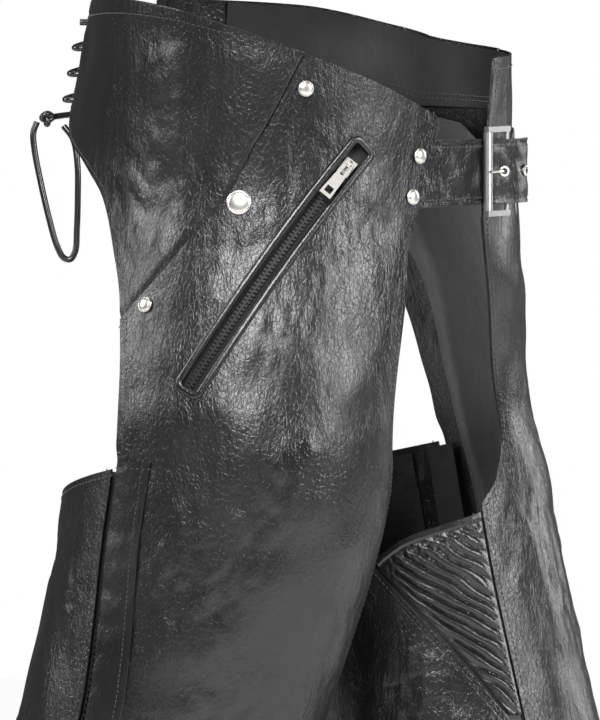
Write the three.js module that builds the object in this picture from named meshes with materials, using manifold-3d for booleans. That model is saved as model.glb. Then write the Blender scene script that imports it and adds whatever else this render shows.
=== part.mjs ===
// Leather riding chaps with a belted front, a laced back, zip pockets and full-length leg zips.
// Millimetres. Origin at the middle of the waist, +Z up, the wearer faces -Y, right leg on -X.
import * as THREE from "three";
import { mergeVertices } from "three/addons/utils/BufferGeometryUtils.js";
import Module from "manifold-3d";

const wasm = await Module();
wasm.setup();

// ---- driving sizes ----
const LEATHER = 1.4; // thickness of a leather panel
const CLOTH = 0.8; // thickness of the lining and the zip tapes
const SEAM_GAP = 0.5; // room left between two panels that are sewn edge to edge
const REST_GAP = 0.3; // room between a piece and what it rests on

const WAIST_HALF_WIDTH = 150;
const WAIST_FRONT_DEPTH = 116; // from the middle of the waist to the front
const WAIST_REAR_DEPTH = 170; // and to the rear, which is more pointed
const WAIST_REAR_TAPER = 0.25; // the rear draws in this much for each millimetre above the belt
const HIP_TOP = 20; // the hip section starts to part into two legs here
const LEG_TOP = -175; // and is a whole leg from here down
const LEG_OFFSET = 98; // from the middle of the body to the middle of the thigh
const LEG_SPREAD = 0.057; // how much each leg moves outward for a millimetre down
const THIGH_HALF_WIDTH = 88;
const THIGH_HALF_DEPTH = 106;
const KNEE = -341; // below here the leg is a straight cone
const KNEE_HALF_DEPTH = 97.5;
const HEM_HALF_DEPTH = 90;
const HEM = -950;
const STRIDE_TOP = -150; // the legs start to part fore and aft here
const STRIDE_EASE = 120;
const STRIDE = { right: 0.3, left: -0.27 };

const FACING_DROP = 46; // depth of the leather band inside the waist
const FACING_STAND = 1.2;
const FACING_CLEAR = 14; // from the pocket's top end to the facing // it stands this far off the panels, because their flats cut across the curve
const LINING_DEPTH = 3.2;
const REAR_LINING_DEPTH = 2.5; // from the outer face of the leather to the lining
const PLACKET_WIDTH = 28;
const PLACKET_TOP = -171;
const SLIT_HALF = 2.4; // half the opening that the leg zip shows through

const POCKET_SIDE_CLEAR = 1; // between the slider and the side of the opening
const WELT_WIDTH = 4.5;
const WELT_HEIGHT = 2;
const BAG_DEPTH = 9; // from the outer face of the leather to the pocket bag
const BAG_THICK = 1.6;
const BAG_CLEAR = 1.2; // from the pocket bag to the lining

const ZIP_TOOTH_HALF = 2.2;
const ZIP_TOOTH_HEIGHT = 1.4;
const SLIDER_HALF = 4;
const POCKET_HALF = SLIDER_HALF + POCKET_SIDE_CLEAR; // half the width of the pocket's opening
const WELT_HALF = POCKET_HALF + WELT_WIDTH; // half the width over both pocket welts
const SLIDER_LENGTH = 11;
const SLIDER_PLATE = 1.3;
const SLIDER_PLAY = 0.4;
const BAIL_INNER = 1.5;
const BAIL_OUTER = 2.6;
const BAIL_HALF = 1;
const PULL_WIDTH = 8.4;
const PULL_LENGTH = 26;
const PULL_THICK = 1.4;

const RIVET_RADIUS = 5;
const SNAP_RADIUS = 7.6;
const DOME_HEIGHT = 2.4;
const DOME_STAND = 0.25; // so that a flat cap clears the curve of the leather

const STRAP_THICK = 2.4;
const STRAP_HALF_HEIGHT = 21;
const STRAP_MIDDLE = 2.5; // height of the belt's middle line
const EYELET_RADIUS = 3.6;
const EYELET_HOLE = 2.1;
const EYELET_NECK = 2.7;
const EYELET_LIP = 0.7;
const EYELETS_AT = [17.5, 36.5]; // across the front, on the belt strap

const ROLLER = { x: 5, y: -124 };
const HEEL_BAR = { x: 25, y: -126 };
const BAR_RADIUS = 1.6;
const BAR_PLAY = 0.3;
const ROLLER_WALL = 0.9;
const BUCKLE_HALF_HEIGHT = 26;
const RAIL_THICK = 3.4;
const TONGUE_RADIUS = 0.9;
const TONGUE_RING = 1.2; // wall of the ring that holds the tongue on its bar
const TONGUE_HALF = 1.5;
const CHAPE_PLY = 1.6;
const CHAPE_HALF_HEIGHT = 19;

const LACE_RADIUS = 2;
const LACE_HOLE = 3.8;
const LACE_ROWS = [92, 76, 60, 44];
const LACE_INSET = 11; // from the rear edge of the hip to the middle of a lace hole

const SIDES = ["right", "left"];
const SIGN = { right: -1, left: 1 };

// Where the rear and the front edge of the outer panel run: [height, degrees round the leg].
// 0 degrees is the outside of the leg, 90 the rear and -90 the front.
const REAR_EDGE = {
  right: [[105, 70], [40, 66], [24, 58], [8, 42], [-12, 31], [-40, 24.5], [-75, 19],
    [-120, 17], [-170, 18], [-210, 19], [KNEE, 8], [HEM, 8]],
  left: [[105, 70], [40, 66], [24, 58], [8, 41], [-12, 30], [-40, 22], [-75, 13],
    [-120, 5], [-150, 2], [-175, 2], [-210, 4], [KNEE, 8], [HEM, 8]],
};
const FRONT_EDGE = {
  right: [[80, -77], [40, -77], [0, -72], [-36, -72], [-75, -79], [-113, -88], [-150, -99],
    [-185, -111], [-210, -121], [KNEE, -121.5], [HEM, -121.5]],
  left: [[80, -77], [28, -82], [-40, -91], [-90, -96], [-132, -99.5], [-170, -104],
    [-190, -111], [-210, -121], [KNEE, -121.5], [HEM, -121.5]],
};
// The waist, as [share of the way from the rear edge to the front edge, height].
const WAIST = {
  right: [[0, 105], [0.26, 110], [0.42, 106], [0.58, 94], [0.7, 81], [0.86, 60], [1, 37]],
  left: [[0, 105], [0.23, 99], [0.39, 86], [0.51, 78], [0.62, 75], [0.8, 73], [1, 72]],
};
const YOKE_SEAM = [[0, -85], [0.08, -70], [0.22, -46], [0.37, -21.5], [0.5, 3.5], [0.62, 30], [0.72, 80]];
const YOKE_END = { right: 0.71, left: 0.7 }; // the yoke stops here, where its seam meets the waist
// The upper edge of the inner and rear panels, from the front seam (1) to the leg zip (2).
const CROTCH_EDGE = [[1, -211], [1.13, -226], [1.2, -241], [1.36, -252], [1.6, -215], [1.85, -190], [2, -176]];
const GUSSET_WIDTH = 0.19; // share of the inner and rear round at the gusset's top
const GUSSET_TIP = -352;
const POCKET_TOP = { share: 0.83, height: 22 };
const POCKET_FOOT = { share: 0.235, height: -128 };

const COLOURS = {
  leather: [0x161616, 0.48, 0],
  leatherShade: [0x121212, 0.55, 0],
  lining: [0x0b0b0d, 0.6, 0],
  chain: [0x101010, 0.5, 0.3],
  nickel: [0xb9b6b0, 0.25, 1],
  lace: [0x0e0e0e, 0.4, 0],
};

const group = new THREE.Group();

// ---- small helpers ----
const lerp = THREE.MathUtils.lerp;
const smooth = (t) => THREE.MathUtils.smoothstep(t, 0, 1);
const vec = (x, y, z) => new THREE.Vector3(x, y, z);

// A smooth curve through [key, value] points, with the key rising or falling.
function through(points, key) {
  const p = points[0][0] < points[1][0] ? points : [...points].reverse();
  if (key <= p[0][0]) return p[0][1];
  if (key >= p[p.length - 1][0]) return p[p.length - 1][1];
  const slope = (i) => {
    if (i === 0 || i === p.length - 1) return 0;
    const a = (p[i][1] - p[i - 1][1]) / (p[i][0] - p[i - 1][0]);
    const b = (p[i + 1][1] - p[i][1]) / (p[i + 1][0] - p[i][0]);
    return a * b <= 0 ? 0 : (2 * a * b) / (a + b);
  };
  const i = p.findIndex((q) => q[0] > key) - 1;
  const w = p[i + 1][0] - p[i][0];
  const t = (key - p[i][0]) / w;
  const ends = [slope(i), slope(i + 1)];
  if (i === 0) ends[0] = (p[1][1] - p[0][1]) / w;
  if (i === p.length - 2) ends[1] = (p[i + 1][1] - p[i][1]) / w;
  const h = [2 * t ** 3 - 3 * t ** 2 + 1, t ** 3 - 2 * t ** 2 + t, 3 * t ** 2 - 2 * t ** 3, t ** 3 - t ** 2];
  return h[0] * p[i][1] + h[1] * w * ends[0] + h[2] * p[i + 1][1] + h[3] * w * ends[1];
}

// ---- the shape that all panels lie on ----
function section(side, z) {
  const hip = smooth((z - LEG_TOP) / (HIP_TOP - LEG_TOP));
  const run = Math.max(0, STRIDE_TOP - z);
  const eased = run < STRIDE_EASE ? (run * run) / (2 * STRIDE_EASE) : run - STRIDE_EASE / 2;
  const set = side === "left" ? 14 * Math.exp(-(((z + 135) / 55) ** 2)) : 0;
  const thigh =
    z > KNEE
      ? lerp(THIGH_HALF_DEPTH, KNEE_HALF_DEPTH, Math.max(0, (z - LEG_TOP) / (KNEE - LEG_TOP)))
      : lerp(KNEE_HALF_DEPTH, HEM_HALF_DEPTH, (z - KNEE) / (HEM - KNEE));
  const rear = WAIST_REAR_DEPTH - WAIST_REAR_TAPER * Math.max(z, 0);
  return {
    x: (1 - hip) * (LEG_OFFSET + LEG_SPREAD * Math.max(0, LEG_TOP - z)),
    y: STRIDE[side] * eased + set,
    halfWidth: lerp(THIGH_HALF_WIDTH, WAIST_HALF_WIDTH, hip),
    front: lerp(thigh, WAIST_FRONT_DEPTH, hip),
    rear: lerp(thigh, rear, hip),
    power: 2 - 0.4 * hip * hip, // under 2 makes the rear half pointed
  };
}

// A point on the chaps: degrees round, height, and depth inward from the outer face.
function skin(side, turn, z, depth = 0) {
  const s = section(side, z);
  const a = THREE.MathUtils.degToRad(turn);
  const c = Math.cos(a);
  const d = Math.sin(a);
  const power = d > 0 ? s.power : 2;
  const deep = d > 0 ? s.rear : s.front;
  const raise = (v, e) => Math.sign(v) * Math.abs(v) ** e;
  const x = raise(c, 2 / power);
  const y = raise(d, 2 / power);
  const normal = new THREE.Vector2(raise(x, power - 1) / s.halfWidth, raise(y, power - 1) / deep).normalize();
  return vec(
    SIGN[side] * (s.x + s.halfWidth * x - normal.x * depth),
    s.y + deep * y - normal.y * depth,
    z,
  );
}

const rearTurn = (side, z) => through(REAR_EDGE[side], z);
const frontTurn = (side, z) => through(FRONT_EDGE[side], z);

// A share from 0 (rear edge) to 1 (front edge), and on to 2 round the inside and the rear of the leg.
function turnAt(side, share, z) {
  const rear = rearTurn(side, z);
  const front = frontTurn(side, z);
  return share <= 1 ? lerp(rear, front, share) : lerp(front, rear - 360, share - 1);
}
const onSkin = (side, share, z, depth = 0) => skin(side, turnAt(side, share, z), z, depth);

// ---- solids ----
function fromTriangles(points, triangles) {
  let geometry = new THREE.BufferGeometry();
  geometry.setAttribute("position", new THREE.Float32BufferAttribute(points.flatMap((p) => [p.x, p.y, p.z]), 3));
  geometry.setIndex(triangles);
  geometry = mergeVertices(geometry, 1e-3);
  const index = geometry.index.array;
  const place = geometry.attributes.position;
  const kept = [];
  let volume = 0;
  for (let i = 0; i < index.length; i += 3) {
    const [a, b, c] = [index[i], index[i + 1], index[i + 2]];
    if (a === b || b === c || a === c) continue;
    kept.push(a, b, c);
    const [p, q, r] = [a, b, c].map((k) => new THREE.Vector3().fromBufferAttribute(place, k));
    volume += p.dot(q.cross(r));
  }
  if (volume < 0) {
    for (let i = 0; i < kept.length; i += 3) {
      [kept[i + 1], kept[i + 2]] = [kept[i + 2], kept[i + 1]];
    }
  }
  geometry.setIndex(kept);
  return geometry;
}

// A sheet with two faces: place(i, j, face) gives each corner, with face 0 outside and 1 inside.
function sheet(columns, rows, place) {
  const points = [];
  const at = (i, j, face) => (i * (rows + 1) + j) * 2 + face;
  for (let i = 0; i <= columns; i++) {
    for (let j = 0; j <= rows; j++) {
      points.push(place(i, j, 0), place(i, j, 1));
    }
  }
  const triangles = [];
  const quad = (a, b, c, d) => triangles.push(a, b, c, a, c, d);
  for (let i = 0; i < columns; i++) {
    for (let j = 0; j < rows; j++) {
      quad(at(i, j, 0), at(i + 1, j, 0), at(i + 1, j + 1, 0), at(i, j + 1, 0));
      quad(at(i, j, 1), at(i, j + 1, 1), at(i + 1, j + 1, 1), at(i + 1, j, 1));
    }
  }
  for (let i = 0; i < columns; i++) {
    quad(at(i, 0, 0), at(i, 0, 1), at(i + 1, 0, 1), at(i + 1, 0, 0));
    quad(at(i, rows, 0), at(i + 1, rows, 0), at(i + 1, rows, 1), at(i, rows, 1));
  }
  for (let j = 0; j < rows; j++) {
    quad(at(0, j, 0), at(0, j + 1, 0), at(0, j + 1, 1), at(0, j, 1));
    quad(at(columns, j, 0), at(columns, j, 1), at(columns, j + 1, 1), at(columns, j + 1, 0));
  }
  return fromTriangles(points, triangles);
}

// A flat outline of [across, up] points carried through stations: place(across, up, station).
function carried(outline, stations, place, looped = false) {
  const n = outline.length;
  const points = [];
  for (let k = 0; k <= stations; k++) {
    for (const [a, b] of outline) points.push(place(a, b, k));
  }
  const triangles = [];
  for (let k = 0; k < stations; k++) {
    for (let i = 0; i < n; i++) {
      const next = (i + 1) % n;
      const [p, q] = [k * n + i, k * n + next];
      triangles.push(p, q, q + n, p, q + n, p + n);
    }
  }
  if (!looped) {
    const flat = outline.map(([a, b]) => new THREE.Vector2(a, b));
    const clockwise = THREE.ShapeUtils.isClockWise(flat);
    for (const [a, b, c] of THREE.ShapeUtils.triangulateShape(flat, [])) {
      const t = clockwise ? [a, c, b] : [a, b, c];
      const end = stations * n;
      // The side walls run from each point to the next, so the caps follow the outline's own way round.
      if (clockwise) triangles.push(t[0], t[1], t[2], end + t[0], end + t[2], end + t[1]);
      else triangles.push(t[0], t[2], t[1], end + t[0], end + t[1], end + t[2]);
    }
  }
  return fromTriangles(points, triangles);
}

function bare(geometry) {
  const g = geometry.clone();
  for (const name of ["normal", "uv"]) g.deleteAttribute(name);
  return mergeVertices(g, 1e-3);
}

function toSolid(geometry) {
  const g = bare(geometry);
  return new wasm.Manifold(
    new wasm.Mesh({
      numProp: 3,
      vertProperties: g.attributes.position.array,
      triVerts: new Uint32Array(g.index.array),
    }),
  );
}

function fromSolid(solid) {
  const mesh = solid.getMesh();
  const geometry = new THREE.BufferGeometry();
  geometry.setAttribute("position", new THREE.BufferAttribute(mesh.vertProperties, 3));
  geometry.setIndex(new THREE.BufferAttribute(mesh.triVerts, 1));
  return geometry;
}

const cut = (body, tools) => fromSolid(tools.reduce((s, t) => s.subtract(toSolid(t)), toSolid(body)));
const join = (...bodies) => fromSolid(bodies.map(toSolid).reduce((a, b) => a.add(b)));

// Puts a geometry made about its own origin at a point, with its z axis along one direction and x along another.
function placed(geometry, origin, zAxis, xAxis) {
  const z = zAxis.clone().normalize();
  const x = xAxis.clone().addScaledVector(z, -xAxis.dot(z)).normalize();
  const y = new THREE.Vector3().crossVectors(z, x);
  return geometry.applyMatrix4(new THREE.Matrix4().makeBasis(x, y, z).setPosition(origin));
}

function add(name, geometry, colour) {
  const [color, roughness, metalness] = COLOURS[colour];
  const mesh = new THREE.Mesh(geometry, new THREE.MeshStandardMaterial({ color, roughness, metalness }));
  mesh.name = name;
  group.add(mesh);
}

// ---- where things are on the outer panel ----
// The local frame on the skin: the point, its outward normal, and the upward and forward directions.
function frameAt(side, turn, z, depth = 0) {
  const step = 0.5;
  const origin = skin(side, turn, z, depth);
  const up = skin(side, turn, z + step).sub(skin(side, turn, z - step)).normalize();
  const forward = skin(side, turn - step, z).sub(skin(side, turn + step, z)).normalize();
  const normal = new THREE.Vector3().crossVectors(forward, up).normalize();
  const out = skin(side, turn, z, -1).sub(skin(side, turn, z, 0));
  if (normal.dot(out) < 0) normal.negate();
  return { origin, up, forward, normal };
}

// How far the leather rises above a flat disc that touches it in the middle.
function hollowUnder(side, turn, z, radius) {
  const { origin, normal } = frameAt(side, turn, z);
  const heights = Array.from({ length: 16 }, (_, i) => {
    const angle = (i * Math.PI) / 8;
    const across = Math.cos(angle) * radius * degreesPerMm(side, turn, z);
    return skin(side, turn + across, z + Math.sin(angle) * radius).sub(origin).dot(normal);
  });
  return Math.max(0, ...heights);
}

// Degrees round the leg for each millimetre.
function degreesPerMm(side, turn, z) {
  return 1 / skin(side, turn + 0.5, z).distanceTo(skin(side, turn - 0.5, z));
}

// The front panel's rows: close together above the knee, few on the straight cone below it.
const UPPER_ROWS = 11;
const LOWER_ROWS = 1;
const ALL_ROWS = UPPER_ROWS + LOWER_ROWS;
function rowHeight(top, j, hem = HEM) {
  return j <= UPPER_ROWS ? lerp(top, KNEE, j / UPPER_ROWS) : lerp(KNEE, hem, (j - UPPER_ROWS) / LOWER_ROWS);
}

const waist = (side, share) => through(WAIST[side], share);
const yokeSeam = (share) => through(YOKE_SEAM, share);
const frontTop = (side, share) => Math.min(yokeSeam(share), waist(side, share));
const crotch = (share) => through(CROTCH_EDGE, share);
const slitShare = (side, z) =>
  (SLIT_HALF * degreesPerMm(side, rearTurn(side, z), z)) / (rearTurn(side, z) - frontTurn(side, z));
const slitShareRear = (side, z) =>
  (SLIT_HALF * degreesPerMm(side, rearTurn(side, z), z)) / (360 + frontTurn(side, z) - rearTurn(side, z));

// ---- pocket geometry: a flat arc in space that the zip follows ----
function pocketArc(side) {
  const at = (t) => {
    const share = lerp(POCKET_FOOT.share, POCKET_TOP.share, t);
    const z = lerp(POCKET_FOOT.height, POCKET_TOP.height, t);
    return onSkin(side, share, z);
  };
  const [foot, middle, top] = [at(0), at(0.5), at(1)];
  const a = new THREE.Vector3().subVectors(foot, middle);
  const b = new THREE.Vector3().subVectors(top, middle);
  const axis = new THREE.Vector3().crossVectors(b, a).normalize();
  const cross = new THREE.Vector3().crossVectors(a, b);
  const toCentre = new THREE.Vector3()
    .crossVectors(b.clone().multiplyScalar(a.lengthSq()).sub(a.clone().multiplyScalar(b.lengthSq())), cross)
    .multiplyScalar(1 / (2 * cross.lengthSq()));
  const centre = middle.clone().add(toCentre);
  const radius = toCentre.length();
  const angle = new THREE.Vector3().subVectors(foot, centre).angleTo(new THREE.Vector3().subVectors(top, centre));
  const start = new THREE.Vector3().subVectors(foot, centre).normalize();
  const side2 = new THREE.Vector3().crossVectors(axis, start);
  const sweep = Math.sign(side2.dot(new THREE.Vector3().subVectors(top, foot)));
  const turned = (mm) => {
    const t = (sweep * mm) / radius;
    return start.clone().multiplyScalar(Math.cos(t)).addScaledVector(side2, Math.sin(t));
  };
  const way = axis.clone().multiplyScalar(sweep);
  // How far the leather leans about the arc: halfway between its lean at the two ends.
  const lean = (mm, t) => {
    const share = lerp(POCKET_FOOT.share, POCKET_TOP.share, t);
    const z = lerp(POCKET_FOOT.height, POCKET_TOP.height, t);
    const { normal } = frameAt(side, turnAt(side, share, z), z);
    return Math.atan2(-normal.dot(way), normal.dot(turned(mm)));
  };
  const length = radius * angle;
  const tilt = (lean(0, 0) + lean(length, 1)) / 2;
  // The directions along, across and out of the zip, some millimetres from its foot.
  const axesAt = (mm) => {
    const radial = turned(mm);
    const out = radial.clone().multiplyScalar(Math.cos(tilt)).addScaledVector(way, -Math.sin(tilt));
    const over = way.clone().multiplyScalar(Math.cos(tilt)).addScaledVector(radial, Math.sin(tilt));
    return { radial, out, over, forward: new THREE.Vector3().crossVectors(over, out) };
  };
  const point = (mm, across, up) => {
    const { radial, out, over } = axesAt(mm);
    return centre.clone().addScaledVector(radial, radius).addScaledVector(over, across).addScaledVector(out, up);
  };
  return { centre, axis: way, radius, length, point, axesAt };
}

// The same place on the leather itself, and up from its outer face.
function pocketSkin(side, arc, along, across, up) {
  const target = arc.point(along, across, 0);
  const { out } = arc.axesAt(along);
  const t = along / arc.length;
  let z = lerp(POCKET_FOOT.height, POCKET_TOP.height, t);
  let turn = turnAt(side, lerp(POCKET_FOOT.share, POCKET_TOP.share, t), z);
  for (let n = 0; n < 5; n++) {
    const spot = frameAt(side, turn, z);
    const off = target.clone().sub(spot.origin);
    off.addScaledVector(out, -off.dot(spot.normal) / out.dot(spot.normal));
    const skew = spot.forward.dot(spot.up);
    const rise = (off.dot(spot.up) - skew * off.dot(spot.forward)) / (1 - skew * skew);
    turn -= (off.dot(spot.forward) - rise * skew) * degreesPerMm(side, turn, z);
    z += rise * spot.up.z;
  }
  return skin(side, turn, z, -up);
}

// ---- shared hardware shapes ----
// A domed cap with a short neck below it, its face at z = 0 and its dome above.
function domedCap(radius, height, neck) {
  const profile = [[0, -neck], [radius * 0.3, -neck], [radius * 0.3, 0], [radius, 0], [radius * 0.97, height * 0.35],
    [radius * 0.72, height * 0.8], [0, height]];
  return new THREE.LatheGeometry(profile.map(([x, y]) => new THREE.Vector2(x, y)), 14).rotateX(Math.PI / 2);
}

function box(width, depth, height) {
  return new THREE.BoxGeometry(width, depth, height);
}

// A zip slider about the middle of its tooth row: y is along the zip, x across it, z out of the leather.
// The row of teeth has its top face at z = 0.
function sliderSolid(rise) {
  const wallDrop = ZIP_TOOTH_HEIGHT - SLIDER_PLAY - 0.2;
  const inner = ZIP_TOOTH_HALF + SLIDER_PLAY;
  const plate = box(2 * SLIDER_HALF, SLIDER_LENGTH, SLIDER_PLATE).translate(0, 0, SLIDER_PLAY + SLIDER_PLATE / 2);
  const walls = [-1, 1].map((way) =>
    box(SLIDER_HALF - inner, SLIDER_LENGTH, wallDrop + SLIDER_PLAY + 0.1).translate(
      (way * (SLIDER_HALF + inner)) / 2, 0, (SLIDER_PLAY + 0.1 - wallDrop) / 2),
  );
  return join(plate, ...walls, bailAt(rise));
}

function bailAt(rise) {
  const outline = new THREE.Shape();
  outline.moveTo(-BAIL_OUTER, -rise);
  outline.lineTo(-BAIL_INNER, -rise);
  outline.lineTo(-BAIL_INNER, 0);
  outline.absarc(0, 0, BAIL_INNER, Math.PI, 0, true);
  outline.lineTo(BAIL_INNER, -rise);
  outline.lineTo(BAIL_OUTER, -rise);
  outline.lineTo(BAIL_OUTER, 0);
  outline.absarc(0, 0, BAIL_OUTER, 0, Math.PI, false);
  const flat = new THREE.ExtrudeGeometry(outline, { depth: 2 * BAIL_HALF, bevelEnabled: false, curveSegments: 5 });
  flat.translate(0, 0, -BAIL_HALF);
  const stand = new THREE.Matrix4().makeBasis(vec(0, 1, 0), vec(0, 0, 1), vec(1, 0, 0));
  return flat.applyMatrix4(stand).translate(0, 0, SLIDER_PLAY + SLIDER_PLATE + rise - 0.05);
}

// The pull hangs along -y from its own bar at the origin, with the bail through its slot.
function zipPull() {
  const half = PULL_WIDTH / 2;
  const bar = PULL_THICK / 2;
  const outline = new THREE.Shape();
  outline.moveTo(-half * 0.72, bar);
  outline.lineTo(half * 0.72, bar);
  outline.lineTo(half, bar - PULL_LENGTH);
  outline.lineTo(-half, bar - PULL_LENGTH);
  const slot = new THREE.Path();
  slot.moveTo(-1.6, -bar);
  slot.lineTo(-1.6, -7);
  slot.absarc(0, -7, 1.6, Math.PI, 2 * Math.PI, false);
  slot.lineTo(1.6, -bar);
  const eye = new THREE.Path();
  eye.moveTo(-2.4, -18.6);
  eye.lineTo(-2.4, -23);
  eye.lineTo(2.4, -23);
  eye.lineTo(2.4, -18.6);
  outline.holes.push(slot, eye);
  return new THREE.ExtrudeGeometry(outline, { depth: PULL_THICK, bevelEnabled: false, curveSegments: 5 })
    .translate(0, 0, -PULL_THICK / 2);
}

// ---- the panels of one side ----
// The columns of the outer panel, which the yoke and the front panel share along their seam.
const YOKE_COLUMNS = 10;
const PANEL_COLUMNS = 15;
const columnShare = (side, i) =>
  i <= YOKE_COLUMNS
    ? (YOKE_END[side] * i) / YOKE_COLUMNS
    : lerp(YOKE_END[side], 1, (i - YOKE_COLUMNS) / (PANEL_COLUMNS - YOKE_COLUMNS));

function frontPanel(side) {
  return sheet(PANEL_COLUMNS, ALL_ROWS, (i, j, face) => {
    const share = columnShare(side, i);
    const z = rowHeight(frontTop(side, share) - SEAM_GAP, j);
    const clear = z < CROTCH_EDGE[6][1] + 6 ? Math.max(share, slitShare(side, z)) : share;
    return onSkin(side, Math.min(clear, 1 - 0.003), z, face * LEATHER);
  });
}

function hipYoke(side) {
  const rows = 8;
  return sheet(YOKE_COLUMNS, rows, (i, j, face) => {
    const share = columnShare(side, i);
    const top = waist(side, share);
    const z = lerp(top, Math.min(yokeSeam(share) + SEAM_GAP, top - 2), j / rows);
    return onSkin(side, share, z, face * LEATHER);
  });
}

function gussetShare(z) {
  const top = CROTCH_EDGE[2][1];
  return 1 + GUSSET_WIDTH * THREE.MathUtils.clamp((z - GUSSET_TIP) / (top - GUSSET_TIP), 0, 1);
}

function rearPanel(side) {
  const columns = 16;
  return sheet(columns, ALL_ROWS, (i, j, face) => {
    const g = i / columns;
    const top = crotch(lerp(1 + GUSSET_WIDTH + 0.01, 2, g)) - SEAM_GAP;
    const z = rowHeight(top, j);
    const share = lerp(gussetShare(z) + 0.004, 2 - slitShareRear(side, z), g);
    return onSkin(side, share, z, face * LEATHER);
  });
}

function stretchGusset(side) {
  const columns = 5;
  const rows = 7;
  const tip = GUSSET_TIP + 16;
  return sheet(columns, rows, (i, j, face) => {
    const g = i / columns;
    const top = crotch(1 + GUSSET_WIDTH * g) - SEAM_GAP;
    const z = lerp(top, tip, j / rows);
    const share = lerp(1.003, Math.min(gussetShare(z), 1 + GUSSET_WIDTH) - 0.004, g);
    return onSkin(side, share, z, face * LEATHER);
  });
}

function waistFacing(side) {
  const columns = 14;
  const rows = 3;
  return sheet(columns, rows, (i, j, face) => {
    const share = lerp(0.12, FACING_END[side], i / columns);
    const top = waist(side, share) - 1.5;
    const z = lerp(top, Math.max(top - FACING_DROP, POCKET_TOP.height + FACING_CLEAR), j / rows);
    return onSkin(side, share, z, LEATHER + FACING_STAND + face * CLOTH);
  });
}

// The lining stands off the leather where the pocket bag lies between them.
function liningDepth(share) {
  const stand = smooth((share - 0.06) / 0.12) * (1 - smooth((share - 0.86) / 0.1));
  return LINING_DEPTH + (BAG_DEPTH + BAG_THICK + BAG_CLEAR - LINING_DEPTH) * stand;
}

const LINING_FRONT_TOP = STRAP_MIDDLE - STRAP_HALF_HEIGHT - 8;
const FACING_END = { right: 0.84, left: 0.985 }; // the belt strap's root takes the place of the right one's end

function frontLining(side) {
  const columns = 13;
  return sheet(columns, ALL_ROWS, (i, j, face) => {
    const share = lerp(0.09, 0.985, i / columns);
    const top = Math.min(waist(side, share) - FACING_DROP - 4, lerp(LINING_FRONT_TOP, 60, Math.max(0, 0.8 - share) / 0.4));
    return onSkin(side, share, rowHeight(top, j, HEM + 12), liningDepth(share) + face * CLOTH);
  });
}

function rearLining(side) {
  const columns = 15;
  return sheet(columns, ALL_ROWS, (i, j, face) => {
    const share = lerp(0.99, 1.95, i / columns);
    const z = rowHeight(crotch(Math.max(share, 1)) - 4, j, HEM + 12);
    return onSkin(side, share, z, REAR_LINING_DEPTH + face * CLOTH);
  });
}

function placket(side) {
  const rows = LOWER_ROWS + 8;
  return sheet(3, rows, (i, j, face) => {
    const z = j <= 8 ? lerp(PLACKET_TOP, KNEE, j / 8) : lerp(KNEE, HEM + 2, (j - 8) / LOWER_ROWS);
    const reach = lerp(SLIT_HALF + 0.7, PLACKET_WIDTH, i / 3);
    const turn = rearTurn(side, z) - reach * degreesPerMm(side, rearTurn(side, z), z);
    return skin(side, turn, z, -REST_GAP - 1.1 + face * 1);
  });
}

// ---- leg zip ----
const TAPE_LOW = 5.6; // depth of the tape's outer face under the slit
const TAPE_HIGH = 2.7;
const LEG_ZIP_TOP = -178;
const LEG_ZIP_END = HEM + 8;

function legZipPoint(side, across, z, depth) {
  const turn = rearTurn(side, z);
  return skin(side, turn - across * degreesPerMm(side, turn, z), z, depth);
}

function legZipChain(side) {
  const t = ZIP_TOOTH_HALF;
  const row = TAPE_LOW - ZIP_TOOTH_HEIGHT;
  const outline = [[-12, TAPE_HIGH], [-6.6, TAPE_HIGH], [-5.2, TAPE_LOW], [-t, TAPE_LOW], [-t, row], [t, row],
    [t, TAPE_LOW], [5.2, TAPE_LOW], [6.6, TAPE_HIGH], [12, TAPE_HIGH], [12, TAPE_HIGH + CLOTH],
    [7.2, TAPE_HIGH + CLOTH], [5.8, TAPE_LOW + CLOTH], [-5.8, TAPE_LOW + CLOTH], [-7.2, TAPE_HIGH + CLOTH],
    [-12, TAPE_HIGH + CLOTH]];
  const upper = 8;
  return carried(outline, upper + 2, (across, depth, k) => {
    const z = k <= upper ? lerp(LEG_ZIP_TOP, KNEE, k / upper) : lerp(KNEE, LEG_ZIP_END, (k - upper) / 2);
    return legZipPoint(side, across, z, depth);
  });
}

// ---- build both sides ----
const LEG_SLIDER_REST = HEM + 24;
// The left pair of belt rivets goes through the chape, which lies on the panel.
const BELT_RIVET_SHARE = 0.965;
const CHAPE_RIVET_TURN = -72.5;
const chapeHoles = [];

// The pocket's zip follows a flat arc, so that its slider can run along it.
const POCKET_TEETH = -LEATHER - 2.4; // height of the top of the teeth above the leather's outer face
const POCKET_TAPE_HALF = POCKET_HALF + 0.3;
const PULL_LIFT = LEATHER + WELT_HEIGHT + 2.9; // the pull lies over the pocket's rim
const POCKET_SLIDER_REST = 18; // from the top end of the zip

function pocketChain(arc) {
  const t = ZIP_TOOTH_HALF;
  const low = POCKET_TEETH - ZIP_TOOTH_HEIGHT;
  const w = POCKET_TAPE_HALF;
  const outline = [[-w, low - CLOTH], [w, low - CLOTH], [w, low], [t, low], [t, POCKET_TEETH],
    [-t, POCKET_TEETH], [-t, low], [-w, low]];
  return carried(outline, 22, (a, up, k) => arc.point(lerp(-2, arc.length + 2, k / 22), a, up));
}

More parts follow.
